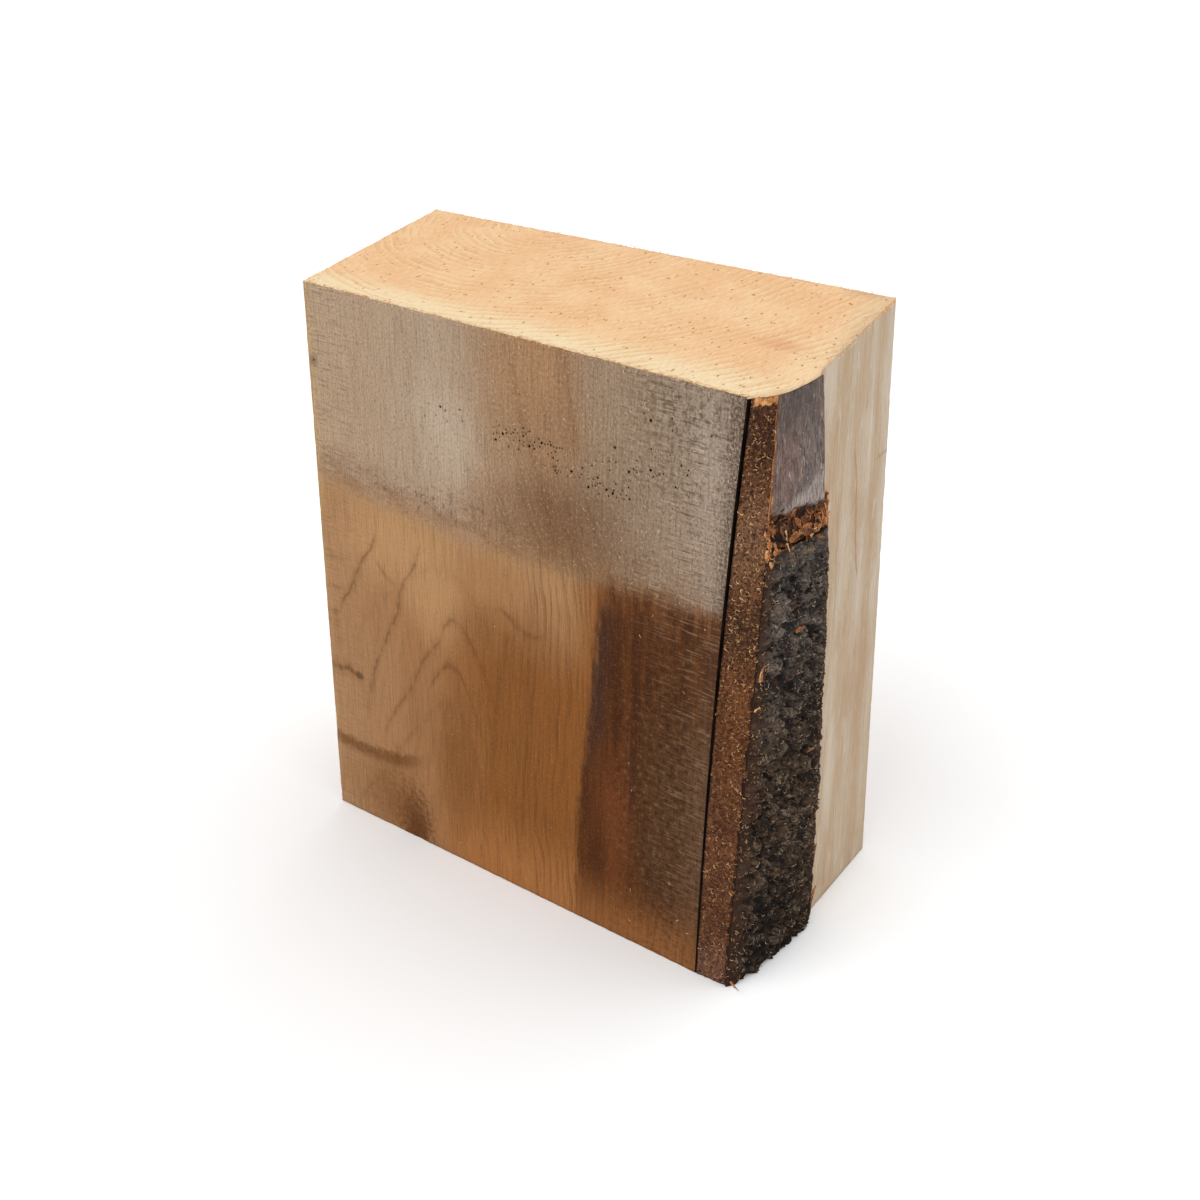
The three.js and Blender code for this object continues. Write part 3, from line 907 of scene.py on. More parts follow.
def front_lines(p, ground, across, z, where, fibres, grey_part):
    wobble = (p.noise(where, (5, 1, 5), 4, 0.6) - 0.5) * 4.6
    breaks = p.span(p.noise(where, (5, 1, 9), 3), 0.3, 0.6, 0.2, 1.0)
    ink = None
    for along, side, lines in ((across, z, ARCHES), (z, across, FALLS), (across, z, LEVEL_MARKS)):
        for points, width, amount in lines:
            thin = p.stroke(along, side, points, width * 0.8, 9, wobble)
            soft = p.stroke(along, side, points, width * 2.6, 12, wobble)
            line = thin * (0.6 * amount) + soft * (0.45 * amount)
            ink = line if ink is None else p.larger(ink, line)
    ground.lay((92, 54, 24), ink * breaks)
    knot = p.patch(across, z, (20, 93), (2.6, 2.2), 0.5, wobble, 0.1)
    ground.lay((76, 46, 26), knot * 0.6)
    # Growth rings cut almost at a right angle run upright, and show more clearly to the right.
    sway = p.noise(where, (60, 1, 110), 2) * 22
    uneven = p.noise(where, (9, 1, 200), 3) * 9
    ring = p.fraction((across + sway + uneven) / 4.3)
    ring_line = p.span(ring, 0.45, 0.95) * p.span(ring, 1.0, 0.95)
    right_part = p.span(across, 84, 140, 0.12, 1.0) * p.span(grey_part, 0, 1, 1.0, 0.35)
    vary = p.span(p.noise(where, (12, 1, 50), 3), 0.35, 0.65)
    ground.lay((92, 56, 28), ring_line * right_part * (vary * 0.42))
    fine = p.noise(where, (0.8, 1, 20), 5, 0.66)
    ground.shade(fine, 0.42, 0.26)
    ground.shade(fibres, 0.26, 0.12)
    # Slanting lines in the grey part, and washboard lines of the saw near the bark.
    tilt = across + z * 0.42
    slant = p.noise(p.point(tilt / 2.4, 0, z / 60), None, 4, 0.65)
    zone = p.patch(across, z, (158, 226), (50, 34), 0.5)
    ground.lay((104, 74, 52), zone * p.span(slant, 0.52, 0.7, 0, 0.6))
    comb = p.noise(where, (14, 1, 1.0), 4, 0.65)
    near_bark = p.span(across, 170, 205) * p.span(p.noise(where, (26, 1, 20), 2), 0.32, 0.6, 0.2, 1)
    near_bark = near_bark * p.span(z, 150, 215, 0.3, 1.0)
    left_comb = p.span(across, 50, 10) * p.span(grey_part, 0, 1, 0.35, 0.6)
    comb_zone = p.larger(near_bark, left_comb)
    ground.lay((74, 54, 40), comb_zone * p.span(comb, 0.52, 0.66, 0, 0.7))
    low_comb = p.span(across, 190, 226) * p.span(z, 205, 190) * p.span(z, 20, 70, 0.2, 1.0)
    ground.lay((146, 118, 92), low_comb * p.span(comb, 0.49, 0.36, 0, 0.55))
    pale_comb = comb_zone * (p.span(grey_part, 0, 1, 0.35, 1.0) * p.span(comb, 0.47, 0.32, 0, 0.5))
    ground.lay((206, 190, 170), pale_comb)


def front_specks(p, ground, across, z, where, grey_part, broad):
    crumbs = p.noise(where, (1.1, 1, 1.5), 5, 0.72)
    rough_part = p.span(across, 150, 200, 0.55, 1.0) * grey_part
    ground.lay((88, 64, 46), (0.26 + rough_part * 0.55) * p.span(crumbs, 0.52, 0.66))
    ground.lay((224, 207, 184), (0.1 + grey_part * 0.24) * p.span(crumbs, 0.46, 0.33))
    chips = p.curly(where, (3.4, 1, 2.6), 4, 0.1, 0.55)
    ground.lay((222, 203, 176), chips * (0.05 + rough_part * 0.32))
    # Dark mould near the bark at the top, and dirt in the band.
    blots = p.noise(where, (3.4, 1, 3.0), 5, 0.66)
    dark_blotches = p.patch(across, z, (212, 286), (24, 15), 0.9, broad, 0.8)
    mould_low = p.patch(across, z, (204, 256), (26, 14), 0.9, broad, 0.8) * 0.6
    ground.lay((84, 74, 60), p.larger(dark_blotches, mould_low) * p.span(blots, 0.5, 0.6, 0, 0.72))
    lichen = dark_blotches * p.span(blots, 0.46, 0.36, 0, 0.35)
    ground.lay((172, 160, 146), lichen)
    dirt = p.patch(across, z, (78, 210), (66, 10), 0.9, broad, 0.8) * p.span(blots, 0.52, 0.62)
    ground.lay((112, 84, 58), dirt * 0.6)
    low_part = p.patch(across, z, (210, 96), (28, 90), 0.8, broad, 0.8)
    ground.lay((50, 32, 18), low_part * p.span(blots, 0.5, 0.62) * 0.65)
    ground.lay((140, 112, 86), low_part * p.span(blots, 0.46, 0.34) * 0.4)
    smudge = p.patch(across, z, (3, 263), (3.0, 3.0), 0.7)
    ground.lay((84, 60, 44), smudge * 0.45)
    near_crack = p.span(across, 225, 236)
    ground.lay((66, 46, 34), near_crack * p.span(crumbs, 0.35, 0.6) * 0.75)


def front_material():
    p = Paint("weathered_front", LIGHT_FRONT)
    across, z, where = front_place(p)
    ground, above, grey_part, broad = front_ground(p, across, z, where)
    fibres = front_stains(p, ground, across, z, where, above)
    front_lines(p, ground, across, z, where, fibres, grey_part)
    front_specks(p, ground, across, z, where, grey_part, broad)
    coarse = p.noise(where, (0.8, 1, 5), 5, 0.7)
    fuzz = p.noise(where, (0.9, 1, 0.9), 4, 0.75)
    bump = coarse * 0.5 + fuzz * 0.5
    return p.finish(ground, p.span(coarse, 0.3, 0.7, 0.72, 0.9), bump, 0.8, 0.06)


# %% [markdown]
# ## The fresh end grain
# The top was cut last, so it is still pale. It shows the growth rings as arcs round the heart of the
# log, which lay just behind the back edge. The rings are the distance to that point, pushed about by
# noise, and cut into bands with one crisp edge. The saw teeth left fine slanting scratches across them.
# %% End grain
LIGHT_TOP = 1.31
PITH = (63.0, 128.0)
PUSH = 3.0


def ring_field(p, x, y, where, spacing):
    dx, dy = x - PITH[0], y - PITH[1]
    away = p.root(dx * dx + dy * dy)
    pushed = away + p.noise(where, (26, 26, 26), 3) * (PUSH * 2)
    uneven = pushed + p.noise(p.point(away / 9, 0, 0), None, 2) * (spacing * 2)
    return p.fraction(uneven / spacing), away


def end_grain(name, fresh, light):
    p = Paint(name, light)
    where = p.block_place()
    x, y, z = p.parts(where)

    flat = p.point(x, y, 0)
    wide, away = ring_field(p, x, y, flat, 4.4)
    narrow, _ = ring_field(p, x, y, flat, 1.7)
    cloud = p.noise(flat, (30, 30, 1), 3)
    if fresh:
        ground = p.over((247, 197, 147), (251, 209, 161), p.span(cloud, 0.38, 0.6))
        cream = p.larger(p.span(y + cloud * 12, 34, 18), p.span(x, 226, 246, 0, 0.45))
        ground.lay((254, 232, 190), cream * 0.95)
        dark, pale = (228, 176, 124), (254, 226, 184)
    else:
        ground = p.over((176, 136, 98), (194, 158, 120), p.span(cloud, 0.4, 0.6))
        sap = p.span(away, 150, 172)
        ground.lay((206, 182, 152), sap * 0.8)
        dark, pale = (138, 98, 64), (206, 172, 132)
    band = p.span(wide, 0.25, 0.9) * p.span(wide, 1.0, 0.93)
    show = p.span(p.noise(flat, (34, 22, 1), 2), 0.38, 0.62, 0.12, 1.0)
    ground.lay(dark, band * show * 0.55)
    after = p.span(wide, 0.0, 0.04) * p.span(wide, 0.16, 0.06)
    ground.lay(pale, after * show * 0.7)
    thin = p.span(narrow, 0.4, 0.95) * p.span(narrow, 1.0, 0.96)
    ground.lay(dark, thin * 0.14)
    scratch = p.noise(flat, (0.55, 5.5, 1), 4, 0.6, turn=math.radians(-28))
    ground.lay(dark, p.span(scratch, 0.52, 0.66, 0, 0.5))
    ground.lay(pale, p.span(scratch, 0.47, 0.33, 0, 0.9))
    fleck = p.cells(flat, (2.2, 4.4, 1), turn=math.radians(-28))
    chosen = p.span(p.noise(flat, (4, 4, 1), 2), 0.5, 0.58)
    ground.lay((172, 110, 60), p.span(fleck, 0.26, 0.12) * chosen * 0.95)
    if fresh:
        spots = p.cells(flat, (4.5, 3.0, 1))
        along_edge = p.span(y + p.noise(flat, (6, 3, 1), 3) * 5, 8.5, 4.0)
        edge_spot = p.span(spots, 0.45, 0.2) * along_edge
        ground.lay((206, 142, 78), edge_spot * 0.75)
        chewed = p.noise(flat, (2.4, 1.6, 1), 4, 0.7)
        rim = p.span(y + x * 0.02 + chewed * -9, 5.0, 2.0)
        ground.lay((198, 132, 72), rim * p.span(chewed, 0.46, 0.56) * 0.85)
        heart = p.patch(x, y, (228, 52), (9, 4.5), 0.8, scratch, 1.4)
        ground.lay((224, 158, 116), heart * 0.5)
    grain = p.noise(flat, (0.5, 0.5, 1), 3, 0.7)
    bump = scratch * 0.7 + grain * 0.3
    return p.finish(ground, p.span(scratch, 0.3, 0.7, 0.62, 0.85), bump, 0.35, 0.12)


# %% [markdown]
# ## Right side, back and left side
# The right side is sapwood, pale and weathered in upright stripes. The back, the left side and the
# foot are not in the photograph. The back and the left side come from the same log, so the same
# recipe paints them: rings cut lengthwise, grey weathering in the upper part, and saw lines across.
# The foot is painted as old end grain by the recipe of the top.
# %% Long grain sides


def long_grain(name, axis, light, ground_tones, stripe_tones, weather, seed):
    """A sawn side, its pattern running upright. `axis` is the block axis that runs across it."""
    p = Paint(name, light)
    x, y, z = p.parts(p.block_place())
    across = x if axis == "x" else y
    where = p.point(across + seed * 300.0, 0, z)
    broad = p.noise(where, (15, 1, 190), 3, 0.5)
    ground = p.over(ground_tones[0], ground_tones[1], p.span(broad, 0.38, 0.62))
    for number, (centre, width, colour, amount) in enumerate(stripe_tones):
        sway = (p.noise(where, (30, 1, 70), 2) - 0.5) * (9 + number)
        away = abs(across + sway - centre)
        ground.lay(colour, p.span(away, width, width * 0.3) * amount)
    cloud = p.noise(where, (26, 1, 50), 4, 0.55)
    ground.lay(weather[0], p.span(cloud, 0.5, 0.68) * 0.5)
    ground.lay(weather[1], p.span(cloud, 0.5, 0.32) * 0.45)
    streaks = p.noise(where, (1.6, 1, 60), 5, 0.62)
    ground.lay(weather[2], p.span(streaks, 0.54, 0.74, 0, 0.4))
    fine = p.noise(where, (0.6, 1, 12), 5, 0.68)
    ground.lay(weather[2], p.span(fine, 0.51, 0.7, 0, 0.5))
    ground.lay(weather[0], p.span(fine, 0.48, 0.28, 0, 0.6))
    comb = p.noise(where, (16, 1, 0.9), 3, 0.6)
    ground.lay(weather[2], p.span(comb, 0.58, 0.8, 0, 0.25))
    crumbs = p.noise(where, (1.1, 1, 1.4), 4, 0.7)
    ground.lay(weather[2], p.span(crumbs, 0.55, 0.68, 0, 0.4))
    bump = p.noise(where, (0.8, 1, 6), 4, 0.7) * 0.6 + comb * 0.4
    return p, p.parts(p.block_place()), ground, bump, streaks


LIGHT_RIGHT = 1.07
LIGHT_HIDDEN = 1.0


def right_material():
    p, (x, y, z), ground, bump, streaks = long_grain(
        "sapwood_side", "y", LIGHT_RIGHT, [(186, 163, 137), (193, 173, 150)],
        [(49, 8, (203, 190, 172), 0.5), (63, 7, (186, 158, 124), 0.4), (75, 5, (202, 188, 169), 0.45),
         (86, 7, (184, 156, 122), 0.4), (98, 6, (202, 188, 170), 0.45), (110, 4, (184, 157, 124), 0.4),
         (119, 6, (204, 191, 174), 0.5)],
        [(204, 190, 170), (176, 148, 116), (146, 116, 88)], 1)
    low = p.span(z, 150, 40)
    ground.lay((183, 158, 130), low * 0.45)
    mottle = p.noise(p.point(0, y, z), (1, 7, 22), 4, 0.6)
    ground.lay((178, 146, 112), p.span(mottle, 0.54, 0.7, 0, 0.55))
    ground.lay((206, 196, 182), p.span(mottle, 0.44, 0.3, 0, 0.5))
    wobble = (p.noise(p.point(0, y, z), (1, 5, 9), 2) - 0.5) * 2.5
    ink = p.stroke(z, y, [(180, 96), (204, 91), (234, 87), (252, 82)], 1.0, 8, wobble) * 0.6
    ink = p.larger(ink, p.stroke(z, y, [(150, 74), (190, 71), (240, 66)], 0.9, 20, wobble) * 0.3)
    ink = p.larger(ink, p.stroke(y, z, [(108, 235), (128, 234)], 1.0, 5, wobble) * 0.4)
    ground.lay((150, 112, 78), ink)
    fibres = p.noise(p.point(y, 0, z), (0.8, 1, 70), 5, 0.72)
    ground.lay((150, 120, 90), p.span(fibres, 0.54, 0.66, 0, 0.4))
    ground.lay((222, 210, 192), p.span(fibres, 0.46, 0.34, 0, 0.55))
    warm = p.patch(y, z, (104, 128), (12, 30), 0.7, streaks, 0.9)
    ground.lay((174, 142, 110), warm * 0.4)
    pale = p.patch(y, z, (79, 76), (5, 28), 0.6, streaks, 0.9)
    ground.lay((206, 192, 172), pale * 0.6)
    top = p.span(z + streaks * 3, 303.2, 305.2)
    ground.lay((224, 160, 104), top * 0.8)
    return p.finish(ground, 0.82, bump, 0.45, 0.12)


def heart_side(name, axis, seed, light):
    p, (x, y, z), ground, bump, streaks = long_grain(
        name, axis, light, [(172, 128, 88), (156, 108, 68)],
        [(40, 16, (140, 92, 52), 0.5), (96, 12, (178, 136, 96), 0.6), (150, 22, (146, 98, 56), 0.6),
         (214, 14, (176, 146, 114), 0.7)],
        [(178, 150, 122), (138, 92, 54), (100, 66, 40)], seed)
    grey_edge = p.noise(p.point(x, y, z), (22, 22, 18), 4, 0.6)
    grey = p.span(z + grey_edge * 60, 216, 262)
    ground.lay((176, 152, 128), grey * 0.72)
    ground.lay((112, 84, 62), p.span(streaks, 0.55, 0.75, 0, 0.5) * grey)
    return p.finish(ground, 0.84, bump, 0.5, 0.12)


def hole_material():
    p = Paint("beetle_hole_painted_shade")
    crumbs = p.noise(p.block_place(), (0.5, 0.5, 0.5), 2)
    # The inside of a hole is painted dark brown to nearly black: painted shade in the recess.
    colour = p.over((50, 32, 22), (28, 18, 12), p.span(crumbs, 0.4, 0.6))
    return p.finish(colour, 0.9)


def wane_material():
    p = Paint("wane_painted_crack_shade")
    where = p.block_place()
    dark_blotches = p.noise(where, (1.4, 1.4, 14), 4, 0.65)
    # The wane shows only through the crack beside the strip, so it is painted nearly black: painted shade in
    # the crack, made uneven by a noise.
    colour = p.over((34, 22, 16), (12, 8, 6), p.span(dark_blotches, 0.35, 0.6))
    return p.finish(colour, 0.95, dark_blotches, 0.5, 0.02)


# %% [markdown]
# One mesh holds the whole wood, because a real block has no seams either. Each face of it points to
# one of eight finishes, which start and stop at the saw cuts.
# %% The wood piece
wood = new_piece("cherry_wood_block", wood_points, wood_faces, [
    front_material(), right_material(), heart_side("back_side", "x", 2, LIGHT_HIDDEN),
    heart_side("left_side", "y", 3, LIGHT_HIDDEN), end_grain("fresh_end_grain", True, LIGHT_TOP),
    end_grain("old_end_grain", False, LIGHT_HIDDEN), hole_material(), wane_material()], wood_looks)
belongs(wood, "wood_block")

# %% [markdown]
# ## The inner bark
# Cherry bark peels in layers. The saw left the inner bark as a brown fibrous strip beside the crack.
# Near the top the crust has come off and the smooth skin shows, which breaks off below in a torn
# ledge. The piece is a stack of rings, one for each height, with the rings closer together where the
# bark is torn. Small pushes along the way out of the wood make fibres, folds and the ragged break.
# %% Depths of the layers
LAYER_GAP = 0.35
CRUST_SUNK = 2.2
INNER_BARK_MIN = 0.9


def wander(u, seed):
    return soft_noise(np.asarray(u, float) * 6, 0.5, seed)


def rim_height(u):
    u = np.asarray(u, float)
    return 233 - 6 * u ** 1.4 + 3.2 * wander(u, 5)


def skin_edge(u):
    u = np.asarray(u, float)
    return 251 - 9 * u + 1.6 * wander(u, 9) + 1.7 * layered_noise(u * 30, 4.2, 12, 4)


def bared(u, z):
    """1 where the smooth skin is still on, 0 where it has torn away."""
    return smooth(skin_edge(u) - 1.6, skin_edge(u), z)


def edge_fade(u):
    return np.minimum(1, u / 0.1)


def crack_width(t):
    return 0.8 + 0.9 * np.asarray(t, float) ** 0.7


def hairline(t, u):
    return LAYER_GAP + (crack_width(t) - LAYER_GAP) * (1 - u) ** 8


def bark_point(t, u, depth_of):
    start = wane(t, u)
    way = skin(t, u) - start
    full = np.linalg.norm(way, axis=-1)
    return start + unit(way) * depth_of(full)[..., None]


# %% [markdown]
# A ring runs along the sawn strip, round the outside and back along the wood. The strip is flat and
# fibrous. Outside, the skin has low folds and pores, and sinks in where it has torn away.
# %% Inner bark mesh
STRIP_STEPS, SKIN_STEPS, INSIDE_STEPS = 16, 78, 12
heights = np.concatenate([np.arange(0, 214, 2.2), np.arange(214, 257, 0.6), np.arange(257, 298.4, 1.3),
                          [298.6]])
bark_levels = heights / HEIGHT
bark_levels[-1] = LIP_LEVEL - 0.0003
rings = []
where_on_bark = []
skin_share = []
for t in bark_levels:
    z = t * HEIGHT
    crack, edge = crack_point(t), strip_edge(t)
    along = unit(edge - crack)
    out = np.array([along[1], -along[0]])
    s = np.linspace(0, 1, STRIP_STEPS + 1)[:-1]
    u_out = np.linspace(0, 1, SKIN_STEPS + 1)
    torn = (1 - bared(u_out, z)) * edge_fade(u_out)
    ledge = torn * smooth(rim_height(u_out) - 4, rim_height(u_out) + 1, z)
    arc = u_out * BARK_AROUND

    def outside(full, u=u_out):
        folds = 0.16 * layered_noise(arc / 7, z / 60, 31, 3) + 0.12 * layered_noise(arc / 2.2, z / 14, 32, 2)
        lenticels = 0.35 * smooth(0.62, 0.85, soft_noise(arc / 3.2, z / 1.5, 33))
        shreds = 0.75 * layered_noise(arc / 2.4, z / 1.9, 34, 3)
        shreds = shreds + 0.5 * np.abs(soft_noise(arc / 1.3, z / 5, 35))
        relief = (folds + lenticels) * (1 - torn) + shreds * ledge
        return np.maximum(full - CRUST_SUNK * torn + relief * edge_fade(u), hairline(t, u) + INNER_BARK_MIN)

    outer = bark_point(np.full(len(u_out), t), u_out, outside)
    front = crack + along * crack_width(t)
    strip = front + (outer[0] - front) * s[:, None]
    reach = s * np.linalg.norm(outer[0] - front)
    fibre = 0.22 * layered_noise(reach / 1.3, z / 9, 36, 3) + 0.16 * soft_noise(reach / 2.1, z / 1.7, 37)
    strip = strip + out * (fibre * smooth(0, 0.12, s) - 0.12)[:, None]
    u_in = np.linspace(1, 1 / INSIDE_STEPS, INSIDE_STEPS)
    inner = bark_point(np.full(len(u_in), t), u_in, lambda full: hairline(t, u_in))
    plan = np.concatenate([strip, outer, inner])
    rings.append(at_level(plan, np.full(len(plan), t)))
    where_on_bark.append(np.concatenate([
        np.stack([reach, np.full(len(s), z), np.zeros(len(s))], -1),
        np.stack([arc, np.full(len(arc), z), np.ones(len(arc))], -1),
        np.stack([u_in * BARK_AROUND, np.full(len(u_in), z), np.full(len(u_in), 2.0)], -1)]))
    skin_share.append(np.concatenate([np.zeros(len(s)), bared(u_out, z), np.zeros(len(u_in))]))


def stack_faces(levels_count, ring_count):
    """Quads between the rings of a stack, and a many-sided face on each end."""
    faces = []
    for k in range(levels_count - 1):
        for i in range(ring_count):
            a, b = k * ring_count + i, k * ring_count + (i + 1) % ring_count
            faces.append((a, b, b + ring_count, a + ring_count))
    faces.append(tuple(range(ring_count))[::-1])
    faces.append(tuple(range((levels_count - 1) * ring_count, levels_count * ring_count)))
    return faces


ring_count = len(rings[0])
inner_faces = stack_faces(len(rings), ring_count)
STRIP_LOOK, SKIN_LOOK = 0, 1
inner_looks = [STRIP_LOOK if n % ring_count < STRIP_STEPS else SKIN_LOOK for n in range(len(inner_faces) - 2)]
inner_looks += [STRIP_LOOK, STRIP_LOOK]

# %% [markdown]
# The strip and the skin with its torn ledge have finishes of their own. The strip is sawn across layers
# of cork and fibre, so it is streaked along the trunk. The skin is purple grey with a pale bloom
# above the break. Its patterns follow the stored place on the bark, so they bend round with it.
# %% Inner bark finishes
LIGHT_BARK = 1.0


def strip_material():
    p = Paint("sawn_inner_bark", LIGHT_BARK)
    x, y, z = p.parts(p.block_place())
    reach = p.parts(p.stored("bark_place", "Vector"))[0]
    where = p.point(reach, 0, z)
    broad = p.noise(where, (4, 1, 30), 4, 0.6)
    ground = p.over((86, 48, 26), (120, 76, 46), p.span(broad, 0.36, 0.64))
    top = p.span(z + broad * 26, 262, 300)
    ground.lay((72, 46, 33), top * 0.75)
    pale = p.patch(reach, z, (7, 240), (9, 20), 0.8, broad, 1.2) * 0.8
    ground.lay((140, 102, 76), pale)
    dim = p.patch(reach, z, (9, 196), (9, 16), 0.8, broad, 1.4)
    ground.lay((66, 46, 32), dim * 0.7)
    warm = p.patch(reach, z, (10, 150), (8, 36), 0.8, broad, 1.2)
    ground.lay((118, 70, 34), warm * 0.6)
    low = p.patch(reach, z, (8, 66), (9, 40), 0.8, broad, 1.2)
    ground.lay((96, 54, 32), low * 0.6)
    foot = p.span(z, 34, 4)
    ground.lay((128, 90, 74), foot * 0.6)
    streak = p.noise(where, (0.9, 1, 7), 5, 0.7)
    ground.shade(streak, 0.55, 0.3)
    lumps = p.noise(p.block_place(), (3.2, 3.2, 3.8), 5, 0.72)
    ground.shade(lumps, 0.75, 0.35)
    crumbs = p.noise(p.block_place(), (1.3, 1.3, 1.5), 5, 0.75)
    ground.lay((26, 16, 12), p.span(crumbs, 0.5, 0.62, 0, 0.8))
    ground.lay((188, 140, 96), p.span(crumbs, 0.42, 0.31, 0, 0.6))
    # Painted shade in the crack and under the edge of the crust, and a torn orange chip right under the top.
    ragged = (p.noise(where, (2, 1, 5), 4, 0.65) - 0.5) * 3
    ground.lay((34, 21, 15), p.span(reach + ragged, 0.7, -0.2) * 0.8)
    crust_edge_shade = p.span(reach + ragged, 13.4, 15.8) * p.span(z, 238, 226)
    ground.lay((50, 30, 20), crust_edge_shade * 0.75)
    chip = p.span(z + ragged * 1.6, 295.6, 296.4)
    fresh = p.over((206, 130, 70), (238, 178, 116), p.span(streak, 0.4, 0.6))
    ground.lay(fresh, chip * p.span(reach, 0.6, 1.8))
    # Dark curly lines: the gaps between the fibres, painted as shadow beside the curls.
    ground.lay((30, 18, 13), p.curly(p.block_place(), (2.3, 2.3, 2.6), 5, 0.2, 0.42) * 0.75)
    curls = p.curly(p.block_place(), (3.1, 3.1, 2.7), 5, 0.17, 0.47)
    some = p.span(p.noise(where, (12, 1, 20), 3), 0.35, 0.62, 0.3, 1.0)
    ground.lay((204, 150, 104), curls * some * p.span(crumbs, 0.62, 0.4, 0.2, 0.95))
    bump = streak * 0.3 + crumbs * 0.4 + curls * 0.5
    return p.finish(ground, 0.8, bump, 1.5, 0.12)


def skin_material():
    p = Paint("smooth_inner_skin", LIGHT_BARK)
    around, up, _ = p.parts(p.stored("bark_place", "Vector"))
    where = p.point(around, 0, up)
    on = p.stored("skin_on", "Fac")
    broad = p.noise(where, (7, 1, 12), 4, 0.65)
    purple = p.over((84, 70, 64), (136, 114, 103), p.span(broad, 0.36, 0.6))
    uneven = p.noise(where, (3.6, 1, 5), 4, 0.7)
    purple.lay((62, 51, 47), p.span(uneven, 0.5, 0.64, 0, 0.65))
    purple.lay((156, 138, 128), p.span(uneven, 0.46, 0.34, 0, 0.5))
    red_part = p.patch(around, up, (20, 268), (14, 12), 0.8, broad, 1.6)
    purple.lay((124, 92, 84), red_part * 0.6)
    cool = p.patch(around, up, (54, 270), (12, 26), 0.8, broad, 1.6)
    purple.lay((98, 89, 87), cool * 0.45)
    streak = p.noise(where, (1.1, 1, 7), 5, 0.68)
    purple.lay((54, 44, 42), p.span(streak, 0.49, 0.64, 0, 0.85))
    purple.lay((158, 142, 136), p.span(streak, 0.46, 0.3, 0, 0.5))
    grit = p.noise(where, (1.3, 1, 1.6), 5, 0.75)
    purple.lay((48, 40, 38), p.span(grit, 0.51, 0.64, 0, 0.6))
    purple.lay((170, 158, 150), p.span(grit, 0.46, 0.33, 0, 0.4))
    scratch = p.curly(where, (5, 1, 9), 4, 0.07, 0.5)
    purple.lay((196, 182, 172), scratch * 0.6)
    scar = p.curly(where, (6, 1, 11), 4, 0.09, 0.52)
    purple.lay((40, 32, 30), scar * 0.6)
    red = p.noise(where, (6, 1, 9), 3)
    purple.lay((128, 88, 76), p.span(red, 0.56, 0.7, 0, 0.55))
    smear = p.patch(around, up, (30, 293), (40, 12), 0.8, broad, 1.0)
    purple.lay((70, 60, 57), smear * 0.55)
    # Short cross marks are the breathing pores of cherry bark.
    pores = p.cells(where, (5.5, 1, 2.4))
    pores = p.span(pores, 0.2, 0.09) * p.span(p.noise(where, (9, 1, 9), 1), 0.46, 0.6)
    purple.lay((46, 36, 34), pores * 0.7)
    bloom = up + p.noise(where, (3, 1, 5), 5, 0.65) * 10
    rise = around * (10 / BARK_AROUND)
    low_bloom = p.span(bloom - rise, 255, 249) * p.span(streak, 0.54, 0.44, 0.15, 1.0)
    low_bloom = low_bloom * p.span(around, 2, 22, 0.35, 1.0)
    purple.lay((178, 166, 156), low_bloom * 0.8)
    edges = p.larger(p.span(around, 1.2, 0.2), p.span(around, 70.4, 71.6))
    rust = p.span(p.noise(where, (1, 1, 6), 3), 0.42, 0.58)
    purple.lay((176, 108, 64), edges * rust * 0.8)
    crumbs = p.noise(where, (0.8, 1, 0.9), 4, 0.7)
    purple.lay((60, 48, 46), p.span(crumbs, 0.56, 0.74, 0, 0.5))
    fibre = p.noise(where, (1.2, 1, 3.4), 4, 0.7)
    torn = p.ramp(p.span(fibre, 0.26, 0.74, soft=False),
                  [(0.0, (18, 11, 8)), (0.35, (54, 33, 22)), (0.62, (112, 74, 48)), (1.0, (178, 128, 86))])
    ground = p.over(torn, purple, on)
    bump = streak * 0.4 + crumbs * 0.6
    return p.finish(ground, p.span(on, 0, 1, 0.9, 0.62), bump, 0.6, 0.2)


inner_bark = new_piece("inner_bark_layers", np.concatenate(rings), inner_faces,
                       [strip_material(), skin_material()], inner_looks)
store(inner_bark, "bark_place", np.concatenate(where_on_bark))
store(inner_bark, "skin_on", np.concatenate(skin_share))
belongs(inner_bark, "inner_bark")

# %% [markdown]
# ## The outer bark
# Old cherry bark is a black crust of thick scales parted by furrows. Its scales are made like this:
# strew centres in a crooked grid, and the nearest centre says which scale a point belongs to. Where
# the two nearest are equally far lies a furrow. The big scales are those of the solid. Smaller scales,
# cracks and crumbs ride on them here, and the rim and the far edge are broken up raggedly.
# %% Scales
PLATE_WIDTH, PLATE_HEIGHT = 12.0, 17.0


def scales(across, up, width, height, crooked, seeds):
    """Distance to the nearest furrow, in cells, and a random number for the scale."""
    x = across / width + crooked * soft_noise(across / width, up / height, seeds[0])
    y = up / height + crooked * soft_noise(across / width, up / height, seeds[1])
    nearest = np.full(x.shape, 9.0)
    second = np.full(x.shape, 9.0)
    lift = np.zeros(x.shape)
    for di in (-1, 0, 1):
        for dj in (-1, 0, 1):
            i, j = np.floor(x) + di, np.floor(y) + dj
            cx = i + 0.5 + 0.7 * (chance(i, j, seeds[2]) - 0.5)
            cy = j + 0.5 + 0.7 * (chance(i, j, seeds[3]) - 0.5)
            away = np.hypot(cx - x, cy - y)
            closer = away < nearest
            second = np.where(closer, nearest, np.minimum(second, away))
            lift = np.where(closer, chance(i, j, seeds[4]) - 0.5, lift)
            nearest = np.where(closer, away, nearest)
    return second - nearest, lift


def ridged(x, y, seed, layers=3):
    """Noise with sharp crests, between 0 and about 2."""
    total = 0
    for k in range(layers):
        total = total + (1 - np.abs(soft_noise(x * 1.9 ** k, y * 1.9 ** k, seed + 13 * k))) ** 2 / 1.7 ** k
    return total


